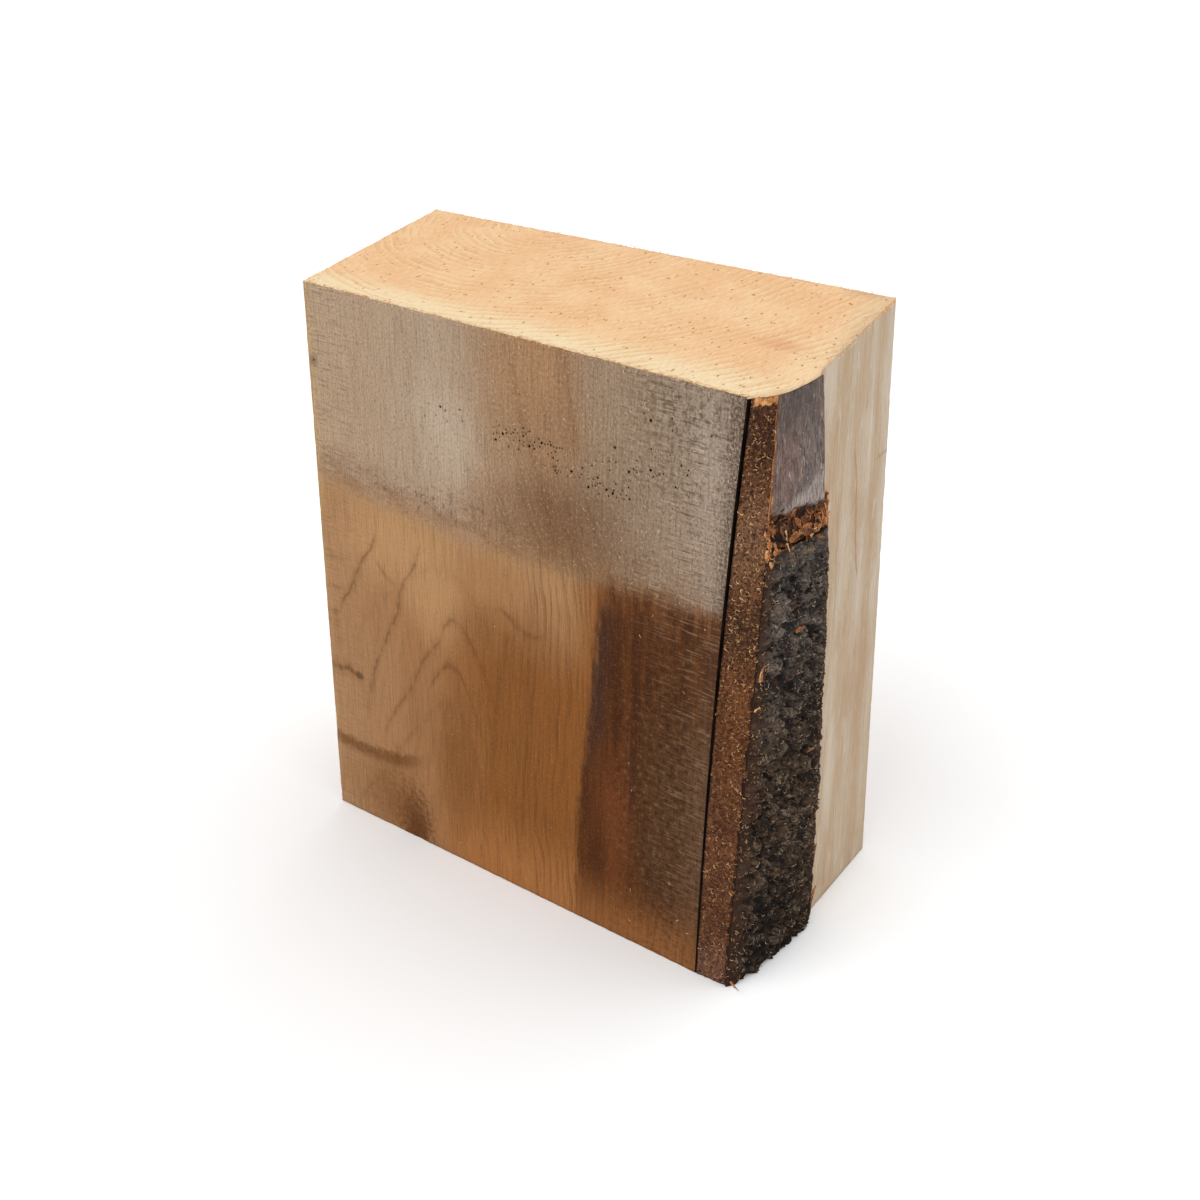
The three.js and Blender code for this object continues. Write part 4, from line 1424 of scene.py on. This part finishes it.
def crust_relief(across, up):
    edge, lift = scales(across, up, PLATE_WIDTH, PLATE_HEIGHT, 0.35, (1, 2, 3, 4, 6))
    big = (0.3 + 0.7 * smooth(0, 0.24, edge)) * (2.5 + 1.6 * lift)
    rough = 0.6 * soft_noise(across / 2.6, up / 3.4, 7)
    bent_across = across + 1.6 * layered_noise(across / 6, up / 7, 101, 3)
    bent_up = up + 0.45 * across + 1.8 * layered_noise(across / 7, up / 5, 102, 3)
    edge_small, lift_small = scales(bent_across, bent_up, 5.4, 4.4, 0.5, (81, 82, 83, 84, 86))
    small = smooth(0, 0.3, edge_small) * (0.8 + 1.3 * lift_small) - 0.4
    crests = ridged(bent_across / 4.9, bent_up / 4.1, 111) - 0.9
    pit = smooth(0.45, 0.85, soft_noise(across / 5.2, up / 4.3, 90))
    crumbs = layered_noise(across / 1.6, up / 1.6, 88, 2)
    fine = 1.0 * small + 1.25 * crests - 1.7 * pit + 0.34 * crumbs
    return np.maximum(big - 2.2 + rough + fine, -1.7), fine, lift


# %% [markdown]
# The crust is a grid bent round the corner, with a bed behind it that follows the inner bark. The
# relief is pushed out along the way from the wood, and dies away towards both ends of the grid. The
# carrier sheets for the sawdust are thinned copies of the same grid, so the curls follow the scales.
# %% Crust mesh
ACROSS_STEPS, UP_STEPS, BED_STEPS = 150, 400, 8
share, u = np.meshgrid(np.linspace(0, 1, UP_STEPS + 1), np.linspace(0, 1, ACROSS_STEPS + 1), indexing="ij")
z = share * (rim_height(u) + share ** 30 * 1.3 * layered_noise(u * 24, 7.7, 91, 3))
relief, fine, lift = crust_relief(u * BARK_END_AT_FOOT, z)
ending = smooth(0.84, 1.0, u)
swell = (1.4 + 1.0 * edge_fade(u)) * (1 - 0.7 * ending)
relief = relief * np.maximum(edge_fade(u), 0.25) * (1 - 0.75 * ending)
face = bark_point(z / HEIGHT, u, lambda full: full + LAYER_GAP + swell + relief)
tattered = layered_noise(z / 4.3, 2.5, 92, 4) + 1.2 * smooth(0.45, 0.8, soft_noise(z / 9, 8.5, 94))
broad_end = 2.3 * smooth(110, 180, z) + 3.0 * np.exp(-((z - 86) / 8) ** 2)
face[..., 1] += smooth(0.86, 1.0, u) * (0.9 * tattered - 0.5 + broad_end)
# The crust's front edge has crumbled over the sawn strip.
front_rag = smooth(0.055, 0.0, u) * (1.9 + 0.9 * layered_noise(z / 5.1, 5.5, 93, 4))
face[..., 0] -= front_rag
face[..., 1] -= front_rag * 0.35
crust_sheet = at_level(face, z / HEIGHT)[::4, ::3][:, ::-1]
crust_amount = 0.35 + 0.3 * soft_noise(u * 9, z / 24, 203) + 0.5 * smooth(0.0, 1.2, fine)
crust_amount = crust_amount[::4, ::3][:, ::-1]
golden_amount = smooth(0.16, 0.02, u) + 0.15 * smooth(0.45, 0.9, soft_noise(u * 8, z / 18, 204))
golden_amount = golden_amount[::4, ::3][:, ::-1]
bed_u = np.broadcast_to(np.linspace(1, 0, BED_STEPS), (UP_STEPS + 1, BED_STEPS))
bed_z = np.linspace(0, 1, UP_STEPS + 1)[:, None] * rim_height(bed_u)
bed = bark_point(bed_z / HEIGHT, bed_u, lambda full: np.maximum(
    full - CRUST_SUNK * edge_fade(bed_u), hairline(bed_z / HEIGHT, bed_u) + INNER_BARK_MIN) + LAYER_GAP)
outside = np.concatenate([face, z[..., None]], -1)
ring = np.concatenate([outside, np.concatenate([bed, bed_z[..., None]], -1)], 1)
crust_place = np.zeros(ring.shape)
crust_place[:, :ACROSS_STEPS + 1, 0] = u * BARK_AROUND
crust_place[:, :ACROSS_STEPS + 1, 1] = z
crust_place[:, :ACROSS_STEPS + 1, 2] = lift
crust_height = np.zeros(ring.shape[:2])
crust_height[:, :ACROSS_STEPS + 1] = fine


# %% [markdown]
# Real crust isn't black: crests are worn pale grey and carry a painted highlight, pits hold dirt and
# painted shadow, and scales that chipped show red brown. The mesh stores how high each point stands,
# and the paint reads that, so that this light and dark sit exactly on the relief. Curly lines stand for the
# finest cracks and fibres.
# %% Crust finish
def crust_material():
    p = Paint("scaly_crust", LIGHT_BARK)
    around, up, lift = p.parts(p.stored("crust_place", "Vector"))
    where = p.point(around, 0, up)
    height = p.stored("crust_height", "Fac")
    broad = p.noise(where, (16, 1, 22), 4, 0.6)
    high = p.span(up + broad * 60, 150, 240)
    dark = p.over((38, 28, 21), (54, 49, 46), high)
    mid = p.over((84, 64, 48), (98, 88, 80), high)
    ground = p.over(dark, mid, p.span(broad + lift * 0.25, 0.38, 0.62))
    # Crests are lighter: worn grey and a painted highlight.
    crest = p.span(height, 0.5, 1.6)
    crumbs = p.noise(where, (1.3, 1, 1.5), 5, 0.74)
    ground.lay((142, 126, 110), crest * p.span(crumbs, 0.58, 0.42, 0.1, 0.75))
    # Pits are nearly black: dirt and painted shadow.
    deep = p.span(height, 0.05, -0.9)
    ground.lay((12, 9, 7), deep * 0.9)
    ground.lay((16, 12, 10), p.span(crumbs, 0.5, 0.64, 0, 0.85))
    ground.lay((150, 136, 122), p.span(crumbs, 0.37, 0.25, 0, 0.7))
    worms = p.curly(where, (4.2, 1, 3.6), 5, 0.15, 0.5)
    worms = worms * p.span(height, -0.6, 0.4)
    ground.lay(p.over((146, 116, 90), (158, 146, 134), high), worms * 0.65)
    gaps = p.curly(where, (6.5, 1, 5.5), 4, 0.16, 0.42)
    ground.lay((10, 8, 6), gaps * 0.75)
    # The rim has a grey top with brown wisps.
    rim = p.span(up + (broad - 0.5) * 12, 217, 224) * p.span(around, 10, 30, 0.4, 1.0)
    ground.lay((104, 99, 93), rim * p.span(crumbs, 0.6, 0.42, 0.15, 0.7))
    wisps = p.noise(where, (8, 1, 1.4), 4, 0.65)
    ground.lay((168, 118, 74), rim * p.span(wisps, 0.52, 0.62) * p.span(up, 222, 227))
    ending = p.span(around, 58, 66) * p.span(p.noise(where, (5, 1, 9), 3), 0.4, 0.56)
    ground.lay((88, 62, 46), ending * p.span(crumbs, 0.6, 0.4, 0.1, 0.65))
    # Pale grey flakes of dead cork, and red brown where a scale has chipped.
    fleck = p.cells(where, (2.4, 1, 3.6))
    fleck = p.span(fleck, 0.24, 0.12) * p.span(p.noise(where, (7, 1, 7), 2), 0.5, 0.62)
    ground.lay((168, 150, 132), fleck * 0.7)
    pale = p.patch(around, up, (14, 150), (9, 12), 0.9, broad, 1.6)
    ground.lay((128, 112, 98), pale * p.span(crumbs, 0.6, 0.4, 0, 0.6))
    brown = p.noise(where, (6, 1, 8), 4, 0.6)
    ground.lay((96, 62, 42), p.span(brown, 0.56, 0.7, 0, 0.65))
    end = p.span(around, 69, 71.5) * p.span(p.noise(where, (1, 1, 16), 2), 0.45, 0.6)
    ground.lay((134, 78, 42), end * p.span(up, 150, 40, 0.2, 0.9))
    # Brown where the crust meets the strip, with orange bits.
    foot = p.span(up, 75, 20)
    ground.lay((22, 15, 10), foot * 0.5)
    front = p.span(around + (brown - 0.5) * 14, 9, 1)
    ground.lay((66, 42, 28), front * p.span(crumbs, 0.66, 0.4, 0.3, 0.9))
    bits = p.span(around, 3.4, 1.2) * p.span(p.noise(where, (2.2, 1, 5), 5, 0.7), 0.6, 0.68)
    ground.lay((176, 108, 52), bits * 0.7)
    bump = crumbs * 0.7 + (worms - gaps) * 0.3
    return p.finish(ground, p.span(crumbs, 0.3, 0.7, 0.72, 0.95), bump, 1.6, 0.14)


outer_bark = new_piece("outer_bark_crust", ring.reshape(-1, 3), stack_faces(*ring.shape[:2]),
                       [crust_material()])
store(outer_bark, "crust_place", crust_place.reshape(-1, 3))
store(outer_bark, "crust_height", crust_height.ravel())
belongs(outer_bark, "outer_bark")

# %% [markdown]
# ## Flakes where the crust broke off
# Between the smooth skin and the black crust the bark is torn into small plates that stand up and
# roll outwards. Each flake is an uneven oval sheet. Its rows follow an arc, so that it really rolls,
# and a second sheet behind it with a rim between gives it thickness. Most flakes are strewn at random
# in the torn zone. The large curls at the right and the orange chips by the strip have set places.
# %% One flake
flake_points, flake_faces, flake_tones = [], [], []
A_STEPS, B_STEPS = 5, 7


def add_flake(base, up, out, wide, high, roll, thick, shade_of, seed):
    """`wide` and `high` are half sizes in mm. The sheet starts at its lower end and rolls towards `out`."""
    a, b = np.meshgrid(np.linspace(-1, 1, A_STEPS), np.linspace(-1, 1, B_STEPS), indexing="ij")
    far = (1 + b) / 2
    ragged = 1 + 0.4 * soft_noise(b * 2.3 + 0.8 * a, 3.3, seed)
    x = a * wide * (1 - 0.25 * b ** 2) * ragged + 0.3 * wide * soft_noise(b, 1.1, seed + 5)
    uneven = 1 + 0.45 * far * soft_noise(a * 2.4, 7.1, seed + 1)
    length = far * 2 * high * (1 - 0.25 * a ** 2 * far) * uneven
    radius = 2 * high / roll
    y = radius * np.sin(length / radius) - high * 0.5
    rise = radius * (1 - np.cos(length / radius)) - 0.22 * wide * a ** 2
    rise = rise + 0.15 * soft_noise(a * 2, b * 2, seed + 2)
    side = np.cross(up, out)
    sheet = base + x[..., None] * side + y[..., None] * up + rise[..., None] * out
    normal = unit(np.cross(np.gradient(sheet, axis=0), np.gradient(sheet, axis=1)))
    rim = np.maximum(np.abs(a), np.abs(b))
    half = 0.5 * thick * (1 - 0.4 * rim ** 4)[..., None]
    # Each flake's own tone, with a painted highlight along its rim.
    tones = shade_of + 0.26 * rim ** 6 + 0.1 * soft_noise(a * 2, b * 3, seed + 3)
    first = len(flake_points)
    for layer in (sheet + normal * half, sheet - normal * half):
        flake_points.extend(layer.reshape(-1, 3).tolist())
        flake_tones.extend(tones.ravel().tolist())
    back = A_STEPS * B_STEPS

    def number(i, j):
        return first + i * B_STEPS + j

    for i in range(A_STEPS - 1):
        for j in range(B_STEPS - 1):
            quad = [number(i, j), number(i + 1, j), number(i + 1, j + 1), number(i, j + 1)]
            flake_faces.append(quad)
            flake_faces.append([v + back for v in quad[::-1]])
    loop = [number(i, 0) for i in range(A_STEPS)] + [number(A_STEPS - 1, j) for j in range(1, B_STEPS)] \
        + [number(i, B_STEPS - 1) for i in range(A_STEPS - 2, -1, -1)] \
        + [number(0, j) for j in range(B_STEPS - 2, 0, -1)]
    for here, there in zip(loop, loop[1:] + loop[:1]):
        flake_faces.append([here + back, there + back, there, here])


def flake_on_bark(u, z, proud, turn, wide, high, roll, thick, shade_of, seed):
    """A flake `proud` mm outside the skin line, its free end turned from straight up by `turn`."""
    t = z / HEIGHT
    plan = bark_point(t, u, lambda full: full + proud)
    ahead = skin(t, min(u + 0.02, 1.0)) - skin(t, max(u - 0.02, 0.0))
    around = np.append(unit(ahead), 0)
    out = np.array([around[1], -around[0], 0])
    up = math.cos(turn) * np.array([0, 0, 1.0]) + math.sin(turn) * around
    add_flake(np.append(plan, z), up, out, wide, high, roll, thick, shade_of, seed)


# %% [markdown]
# Chance alone would spread the flakes too evenly. The real ones crowd at both ends of the torn zone,
# so the flakes that catch the eye are set one by one over the strewn ones.
# %% Strewn flakes and set flakes
random.seed(43)
for number in range(90):
    place = random.uniform(0.01, 0.99)
    low, high = float(rim_height(place)), float(skin_edge(place))
    level = low - 1.5 + (high - low + 0.5) * random.random()
    turned = random.choice((0, math.pi)) + random.gauss(0, 0.6)
    flake_on_bark(place, level, random.uniform(-1.9, -0.4), turned, random.uniform(0.8, 2.0),
                  random.uniform(0.9, 2.3), random.uniform(0.3, 1.5), random.uniform(0.4, 0.8),
                  random.choice((-0.1, 0.0, 0.1, 0.2, 0.35, 0.5)), number)
# Each row: place round the bark, height, proud, turn, half width, half height, roll, thickness, shade.
SET_FLAKES = [
    (0.99, 238, -0.5, 1.5, 3.2, 1.0, 2.6, 0.6, 0.55), (0.97, 232, -0.3, 1.7, 3.0, 1.1, 2.2, 0.6, 0.68),
    (0.94, 236, -0.8, 1.4, 3.4, 1.0, 2.6, 0.6, 0.5), (0.91, 232, -0.4, 1.6, 3.0, 1.0, 2.0, 0.6, 0.7),
    (0.88, 236, -1.0, 1.3, 2.8, 1.0, 2.2, 0.6, 0.45), (1.0, 243, -0.6, 1.2, 1.8, 0.8, 2.4, 0.5, 0.3),
    (0.85, 232, -0.8, 1.8, 2.4, 1.1, 1.8, 0.6, 0.6), (1.0, 228, -0.2, 1.9, 2.2, 0.9, 2.0, 0.6, 0.5),
    (1.05, 238, -0.4, 1.5, 2.8, 0.9, 2.6, 0.6, 0.6), (1.06, 233, -0.2, 1.6, 2.6, 1.0, 2.2, 0.6, 0.68),
    (1.04, 243, -0.6, 1.3, 2.0, 0.8, 2.4, 0.6, 0.4), (1.05, 229, -0.1, 1.7, 2.2, 0.9, 2.0, 0.6, 0.5),
    (0.05, 238, -0.2, 3.2, 1.3, 2.2, 0.5, 0.9, 0.66), (0.09, 231, 0.2, 3.5, 1.4, 2.2, 0.6, 0.9, 0.7),
    (0.01, 243, -0.6, 3.0, 1.0, 2.6, 0.5, 0.8, 0.58), (0.02, 234, 0.2, 3.2, 1.4, 2.6, 0.5, 0.9, 0.64),
    (0.12, 239, -0.8, 3.1, 0.8, 3.2, 0.7, 0.7, 0.6), (0.15, 233, -0.2, 3.9, 1.0, 2.6, 0.6, 0.8, 0.68),
    (0.06, 232, 0.0, 4.4, 1.3, 2.4, 0.5, 0.9, 0.6), (0.20, 231.5, -0.2, 4.6, 1.2, 3.0, 0.5, 0.8, 0.52),
    (0.42, 234, -0.2, 1.2, 2.0, 3.4, 0.5, 0.9, 0.5), (0.55, 235, 0.1, 1.0, 2.2, 3.6, 0.5, 0.9, 0.52),
    (0.66, 234, 0.2, 1.9, 1.8, 2.8, 0.5, 0.9, 0.38), (0.72, 231, 0.7, 0.9, 1.3, 2.0, 0.4, 0.8, 0.85),
    (0.33, 238, -0.7, 3.1, 0.6, 3.4, 0.4, 0.6, 0.75), (0.26, 241, -1.0, 3.1, 0.8, 4.0, 0.5, 0.6, 0.35),
    (0.48, 242, -1.0, 3.3, 1.0, 2.8, 0.8, 0.6, 0.25), (0.62, 240, -0.8, 2.9, 1.1, 2.6, 0.9, 0.6, 0.42),
    (0.49, 188, 1.8, 1.3, 1.5, 2.2, 0.4, 0.6, 0.5), (0.44, 186, 1.8, 2.2, 0.9, 1.3, 0.4, 0.5, 0.56),
    (0.70, 115, 1.6, 1.4, 1.2, 2.6, 0.4, 0.6, 0.5), (0.76, 117, 1.5, 1.8, 0.9, 1.5, 0.4, 0.6, 0.46),
    (0.995, 40, 0.7, 0.0, 0.9, 7.0, 0.1, 0.8, 0.48), (1.0, 9, 0.8, 0.1, 1.0, 6.0, 0.1, 0.8, 0.5),
    (0.03, 176, 1.5, 0.1, 0.8, 4.6, 0.1, 0.6, 0.6), (0.0, 160, 1.5, 0.5, 0.6, 1.2, 0.8, 0.5, 0.7),
    (0.0, 284, -0.1, 0.0, 0.35, 8.0, 0.03, 0.4, 0.42), (0.0, 268, -0.1, 0.03, 0.3, 8.0, 0.03, 0.4, 0.5),
    (0.0, 250, 0.0, 0.0, 0.45, 9.0, 0.05, 0.5, 0.45), (0.0, 254, 0.3, 0.06, 0.4, 4.0, 0.15, 0.4, 0.6)]
for number, row in enumerate(SET_FLAKES):
    flake_on_bark(*row, 300 + number)
for number in range(150):
    place, level = random.uniform(0.02, 0.94), random.uniform(4, 226)
    flake_on_bark(place, level, random.uniform(0.6, 2.0), random.uniform(0, 6.3), random.uniform(0.5, 1.2),
                  random.uniform(0.7, 1.6), random.uniform(0.3, 1.5), random.uniform(0.3, 0.6),
                  random.choice((-0.1, 0.0, 0.0, 0.06, 0.12, 0.3)), 500 + number)
# A splinter of bark stands off at the foot.
add_flake(np.array([250.4, 1.0, 3.6]), np.array([0.91, -0.39, -0.12]), np.array([0, 0, 1.0]), 0.7, 2.6, 0.2,
          0.5, 0.6, 601)


def flake_material():
    p = Paint("torn_bark", LIGHT_BARK)
    shade_of = p.stored("flake_shade", "Fac")
    where = p.block_place()
    fibre = p.noise(where, (0.7, 0.7, 2.6), 4, 0.7)
    # The stored tone holds the flake's own tone and the painted highlight on its rim.
    mixed = shade_of + (fibre - 0.5) * 0.9

    colour = p.ramp(mixed, [(0.0, (26, 19, 15)), (0.16, (46, 31, 23)), (0.34, (80, 51, 34)),
                            (0.52, (138, 83, 48)), (0.7, (190, 118, 66)), (1.0, (236, 192, 140))])
    speck = p.noise(where, (1.0, 1.0, 1.2), 3, 0.7)
    colour.lay((34, 22, 16), p.span(speck, 0.56, 0.68, 0, 0.75))
    return p.finish(colour, p.span(fibre, 0.3, 0.7, 0.6, 0.85), fibre, 0.4, 0.18)


flakes = new_piece("torn_flakes", flake_points, flake_faces, [flake_material()])
store(flakes, "flake_shade", flake_tones)
belongs(flakes)

# %% [markdown]
# ## Sawdust curls and fibres
# The band saw threw tiny curls of wood over everything, and left fibres standing along the fresh
# edges. Hundreds of small things on a surface are a case for Geometry Nodes: one tree strews points
# on a thin carrier sheet, where a stored number says how many, and puts a short bent band on each
# point, turned and scaled by chance. The same tree makes curls and fibres, with other sizes.
# %% Tree that strews curls


def curl_tree():
    tree = bpy.data.node_groups.new("strewn_curls", "GeometryNodeTree")
    sockets = tree.interface
    sockets.new_socket("Geometry", in_out="INPUT", socket_type="NodeSocketGeometry")
    for name, kind in (("Density", "Float"), ("Radius", "Float"), ("Sweep", "Float"), ("Band", "Float"),
                       ("Thickness", "Float"), ("Stand", "Float"), ("Lift", "Float"), ("Seed", "Int"),
                       ("Finish", "Material")):
        sockets.new_socket(name, in_out="INPUT", socket_type="NodeSocket" + kind)
    sockets.new_socket("Geometry", in_out="OUTPUT", socket_type="NodeSocketGeometry")

    def put(kind, inputs, **settings):
        """A node. Its inputs are outputs of other nodes, which get wired, or plain values."""
        made = tree.nodes.new(kind)
        for key, value in settings.items():
            setattr(made, key, value)
        for socket, value in inputs.items():
            if isinstance(value, bpy.types.NodeSocket):
                tree.links.new(value, made.inputs[socket])
            else:
                made.inputs[socket].default_value = value
        return made.outputs

    given = put("NodeGroupInput", {})
    seed, stand = given["Seed"], given["Stand"]
    amount = put("GeometryNodeInputNamedAttribute", {"Name": "amount"}, data_type="FLOAT")
    many = put("ShaderNodeMath", {0: amount[0], 1: given["Density"]}, operation="MULTIPLY")
    spots = put("GeometryNodeDistributePointsOnFaces",
                {"Mesh": given["Geometry"], "Density": many[0], "Seed": seed}, distribute_method="RANDOM")
    arc = put("GeometryNodeCurveArc",
              {"Resolution": 6, "Radius": given["Radius"], "Sweep Angle": given["Sweep"]}, mode="RADIUS")
    band = put("GeometryNodeCurvePrimitiveQuadrilateral",
               {"Width": given["Band"], "Height": given["Thickness"]}, mode="RECTANGLE")
    curl = put("GeometryNodeCurveToMesh",
               {"Curve": arc["Curve"], "Profile Curve": band["Curve"], "Fill Caps": True})
    down = put("ShaderNodeMath", {0: stand, 1: -1}, operation="MULTIPLY")
    least = put("ShaderNodeCombineXYZ", {0: down[0], 1: down[0]})
    most = put("ShaderNodeCombineXYZ", {0: stand, 1: stand, 2: 2 * math.pi})
    tilt = put("FunctionNodeRandomValue", {0: least[0], 1: most[0], "Seed": seed}, data_type="FLOAT_VECTOR")
    turn = put("FunctionNodeEulerToRotation", {0: tilt[0]})
    turned = put("FunctionNodeRotateRotation", {0: spots["Rotation"], 1: turn[0]}, rotation_space="LOCAL")
    size = put("FunctionNodeRandomValue", {0: (0.45, 0.35, 0.7), 1: (1.3, 1.2, 1.1), "Seed": seed},
               data_type="FLOAT_VECTOR")
    placed = put("GeometryNodeInstanceOnPoints",
                 {"Points": spots["Points"], "Instance": curl[0], "Rotation": turned[0], "Scale": size[0]})
    raised = put("ShaderNodeCombineXYZ", {2: given["Lift"]})
    lifted = put("GeometryNodeTranslateInstances", {"Instances": placed[0], "Translation": raised[0]})
    real = put("GeometryNodeRealizeInstances", {0: lifted[0]})
    finished = put("GeometryNodeSetMaterial", {"Geometry": real[0], "Material": given["Finish"]})
    put("NodeGroupOutput", {0: finished[0]})
    return tree


CURL_TREE = curl_tree()


def strew(name, slot, sheet, amount, **inputs):
    """Strews curls on a grid of points. Sizes are millimetres, density is per square metre."""
    rows, across = sheet.shape[:2]
    quads = [(i * across + j, (i + 1) * across + j, (i + 1) * across + j + 1, i * across + j + 1)
             for i in range(rows - 1) for j in range(across - 1)]
    mesh = bpy.data.meshes.new(name + "_carrier")
    mesh.from_pydata(to_frame(sheet.reshape(-1, 3)).tolist(), [], quads)
    carrier = bpy.data.objects.new(name + "_carrier", mesh)
    bpy.context.scene.collection.objects.link(carrier)
    store(carrier, "amount", np.clip(amount, 0, None).ravel())
    modifier = carrier.modifiers.new("curls", "NODES")
    modifier.node_group = CURL_TREE
    for item in CURL_TREE.interface.items_tree:
        key = item.name.lower()
        if item.in_out == "INPUT" and key in inputs:
            in_metres = key in ("radius", "band", "thickness", "lift")
            modifier[item.identifier] = inputs[key] / 1000 if in_metres else inputs[key]
    graph = bpy.context.evaluated_depsgraph_get()
    made = bpy.data.meshes.new_from_object(carrier.evaluated_get(graph), depsgraph=graph)
    bpy.data.objects.remove(carrier)
    made.name = name
    piece = bpy.data.objects.new(name, made)
    bpy.context.scene.collection.objects.link(piece)
    belongs(piece)
    print(name, len(made.vertices), "points", len(made.polygons), "faces")
    return piece


def curl_material(name, low, mid, high):
    p = Paint(name, LIGHT_FRONT)
    where = p.block_place()
    vary = p.noise(where, (1.6, 1.6, 1.6), 2, 0.5)
    colour = p.ramp(p.span(vary, 0.32, 0.68, soft=False), [(0.0, low), (0.5, mid), (1.0, high)])
    fibre = p.noise(where, (0.25, 0.25, 0.25), 2, 0.6)
    return p.finish(colour, 0.5, fibre, 0.05, 0.3)


# %% [markdown]
# The front carries few curls below, where the wood is smooth, and more on the rough grey part near
# the bark. The strip carries many golden ones, and they stand up, because its fibres hold them.
# %% Curls on the front
CARRIER_WIDTH = 235.0
up, across = np.meshgrid(np.linspace(2, 298, 90), np.linspace(0.5, CARRIER_WIDTH, 70), indexing="ij")
t = up / HEIGHT
share = 0.92 * across_front(across, t) * FRONT_WIDTH / CARRIER_WIDTH
front_sheet = at_level(mix(corner("front_left", t), crack_point(t), np.clip(share, 0.004, 0.985)), t)
front_sheet[..., 1] -= 0.12
front_sheet = front_sheet[:, ::-1]
across = across[:, ::-1]
amount = 0.02 + 0.5 * smooth(196, 208, up) + 0.6 * smooth(200, 225, up) * smooth(130, 200, across)
amount = amount + 0.06 * smooth(176, 200, across)
amount = amount * (0.55 + 0.6 * soft_noise(across / 30, up / 22, 201))
strew("sawdust_on_front", "cherry_wood", front_sheet, amount, density=26000.0, radius=0.65,
      sweep=2.9, band=0.22, thickness=0.13, stand=0.45, lift=0.06, seed=11,
      finish=curl_material("pale_sawdust", (176, 142, 104), (208, 180, 146), (238, 218, 188)))

# %% Curls on the strip
up, s = np.meshgrid(np.linspace(1, 293, 90), np.linspace(0.0, 1.0, 8), indexing="ij")
t = up / HEIGHT
strip_start = crack_point(t) + unit(strip_edge(t) - crack_point(t)) * (crack_width(t) + 0.6)[..., None]
strip_sheet = at_level(mix(strip_start, strip_edge(t), s), t)
strip_sheet[..., 1] -= 0.25
strip_sheet = strip_sheet[:, ::-1]
amount = 0.35 + 0.65 * smooth(140, 225, up) + 0.25 * smooth(0.8, 1.0, s[:, ::-1])
amount = amount * (0.7 + 0.5 * soft_noise(s * 2, up / 14, 202))
strew("sawdust_on_strip", "inner_bark", strip_sheet, amount, density=230000.0, radius=0.85,
      sweep=2.6, band=0.28, thickness=0.16, stand=0.9, lift=0.2, seed=12,
      finish=curl_material("golden_sawdust", (122, 82, 52), (184, 132, 82), (246, 208, 150)))

# %% [markdown]
# On the crust grey curls lie on the crests of the scales. Golden ones keep to its edge beside the
# strip, where the saw went through.
# %% Curls on the crust
strew("sawdust_on_crust", "outer_bark", crust_sheet, crust_amount, density=80000.0,
      radius=0.8, sweep=3.0, band=0.27, thickness=0.15, stand=1.0, lift=0.15, seed=13,
      finish=curl_material("grey_sawdust", (104, 90, 78), (158, 138, 116), (226, 194, 150)))
strew("golden_on_crust", "outer_bark", crust_sheet, golden_amount, density=110000.0,
      radius=0.75, sweep=2.6, band=0.27, thickness=0.15, stand=1.0, lift=0.2, seed=14,
      finish=curl_material("golden_on_bark", (122, 82, 52), (184, 132, 82), (246, 208, 150)))

# %% [markdown]
# A saw leaves short fibres standing along the edges of a cut. The carrier is a narrow band along each
# top edge, facing outwards and up, and the curls on it are longer and straighter.
# %% Fibres along the edges of the fresh cut
def edge_band(first, last, tilt, count):
    """A narrow sheet along a top edge, facing outwards and up."""
    share = np.linspace(0.004, 0.996, count)
    plan = mix(front_line[first](1.0), front_line[last](1.0), share)
    middle = at_level(plan, np.ones(count))
    half = 0.35 * np.array([-tilt[0], -tilt[1], 1.0])
    return np.stack([middle - half, middle + half], 1)


for seed, (first, last, tilt, dense) in enumerate((
        ("back_right", "back_left", (0, 1), 1.5), ("front_left", "crack", (0, -1), 0.8),
        ("bark_end", "back_right", (1, 0), 1.2), ("back_left", "front_left", (-1, 0), 0.7))):
    band = edge_band(first, last, tilt, 60)
    strew(f"edge_fibres_{seed}", "cherry_wood", band, np.ones(band.shape[:2]),
          density=1500000.0 * dense, radius=1.3, sweep=1.3, band=0.13, thickness=0.10, stand=1.2, lift=-0.2,
          seed=21 + seed,
          finish=curl_material(f"fresh_fibres_{seed}", (214, 160, 104), (244, 206, 158), (252, 228, 190)))

# %% [markdown]
# The last cell measures the size of the finished scene.
# %% Size and finish
low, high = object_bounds()
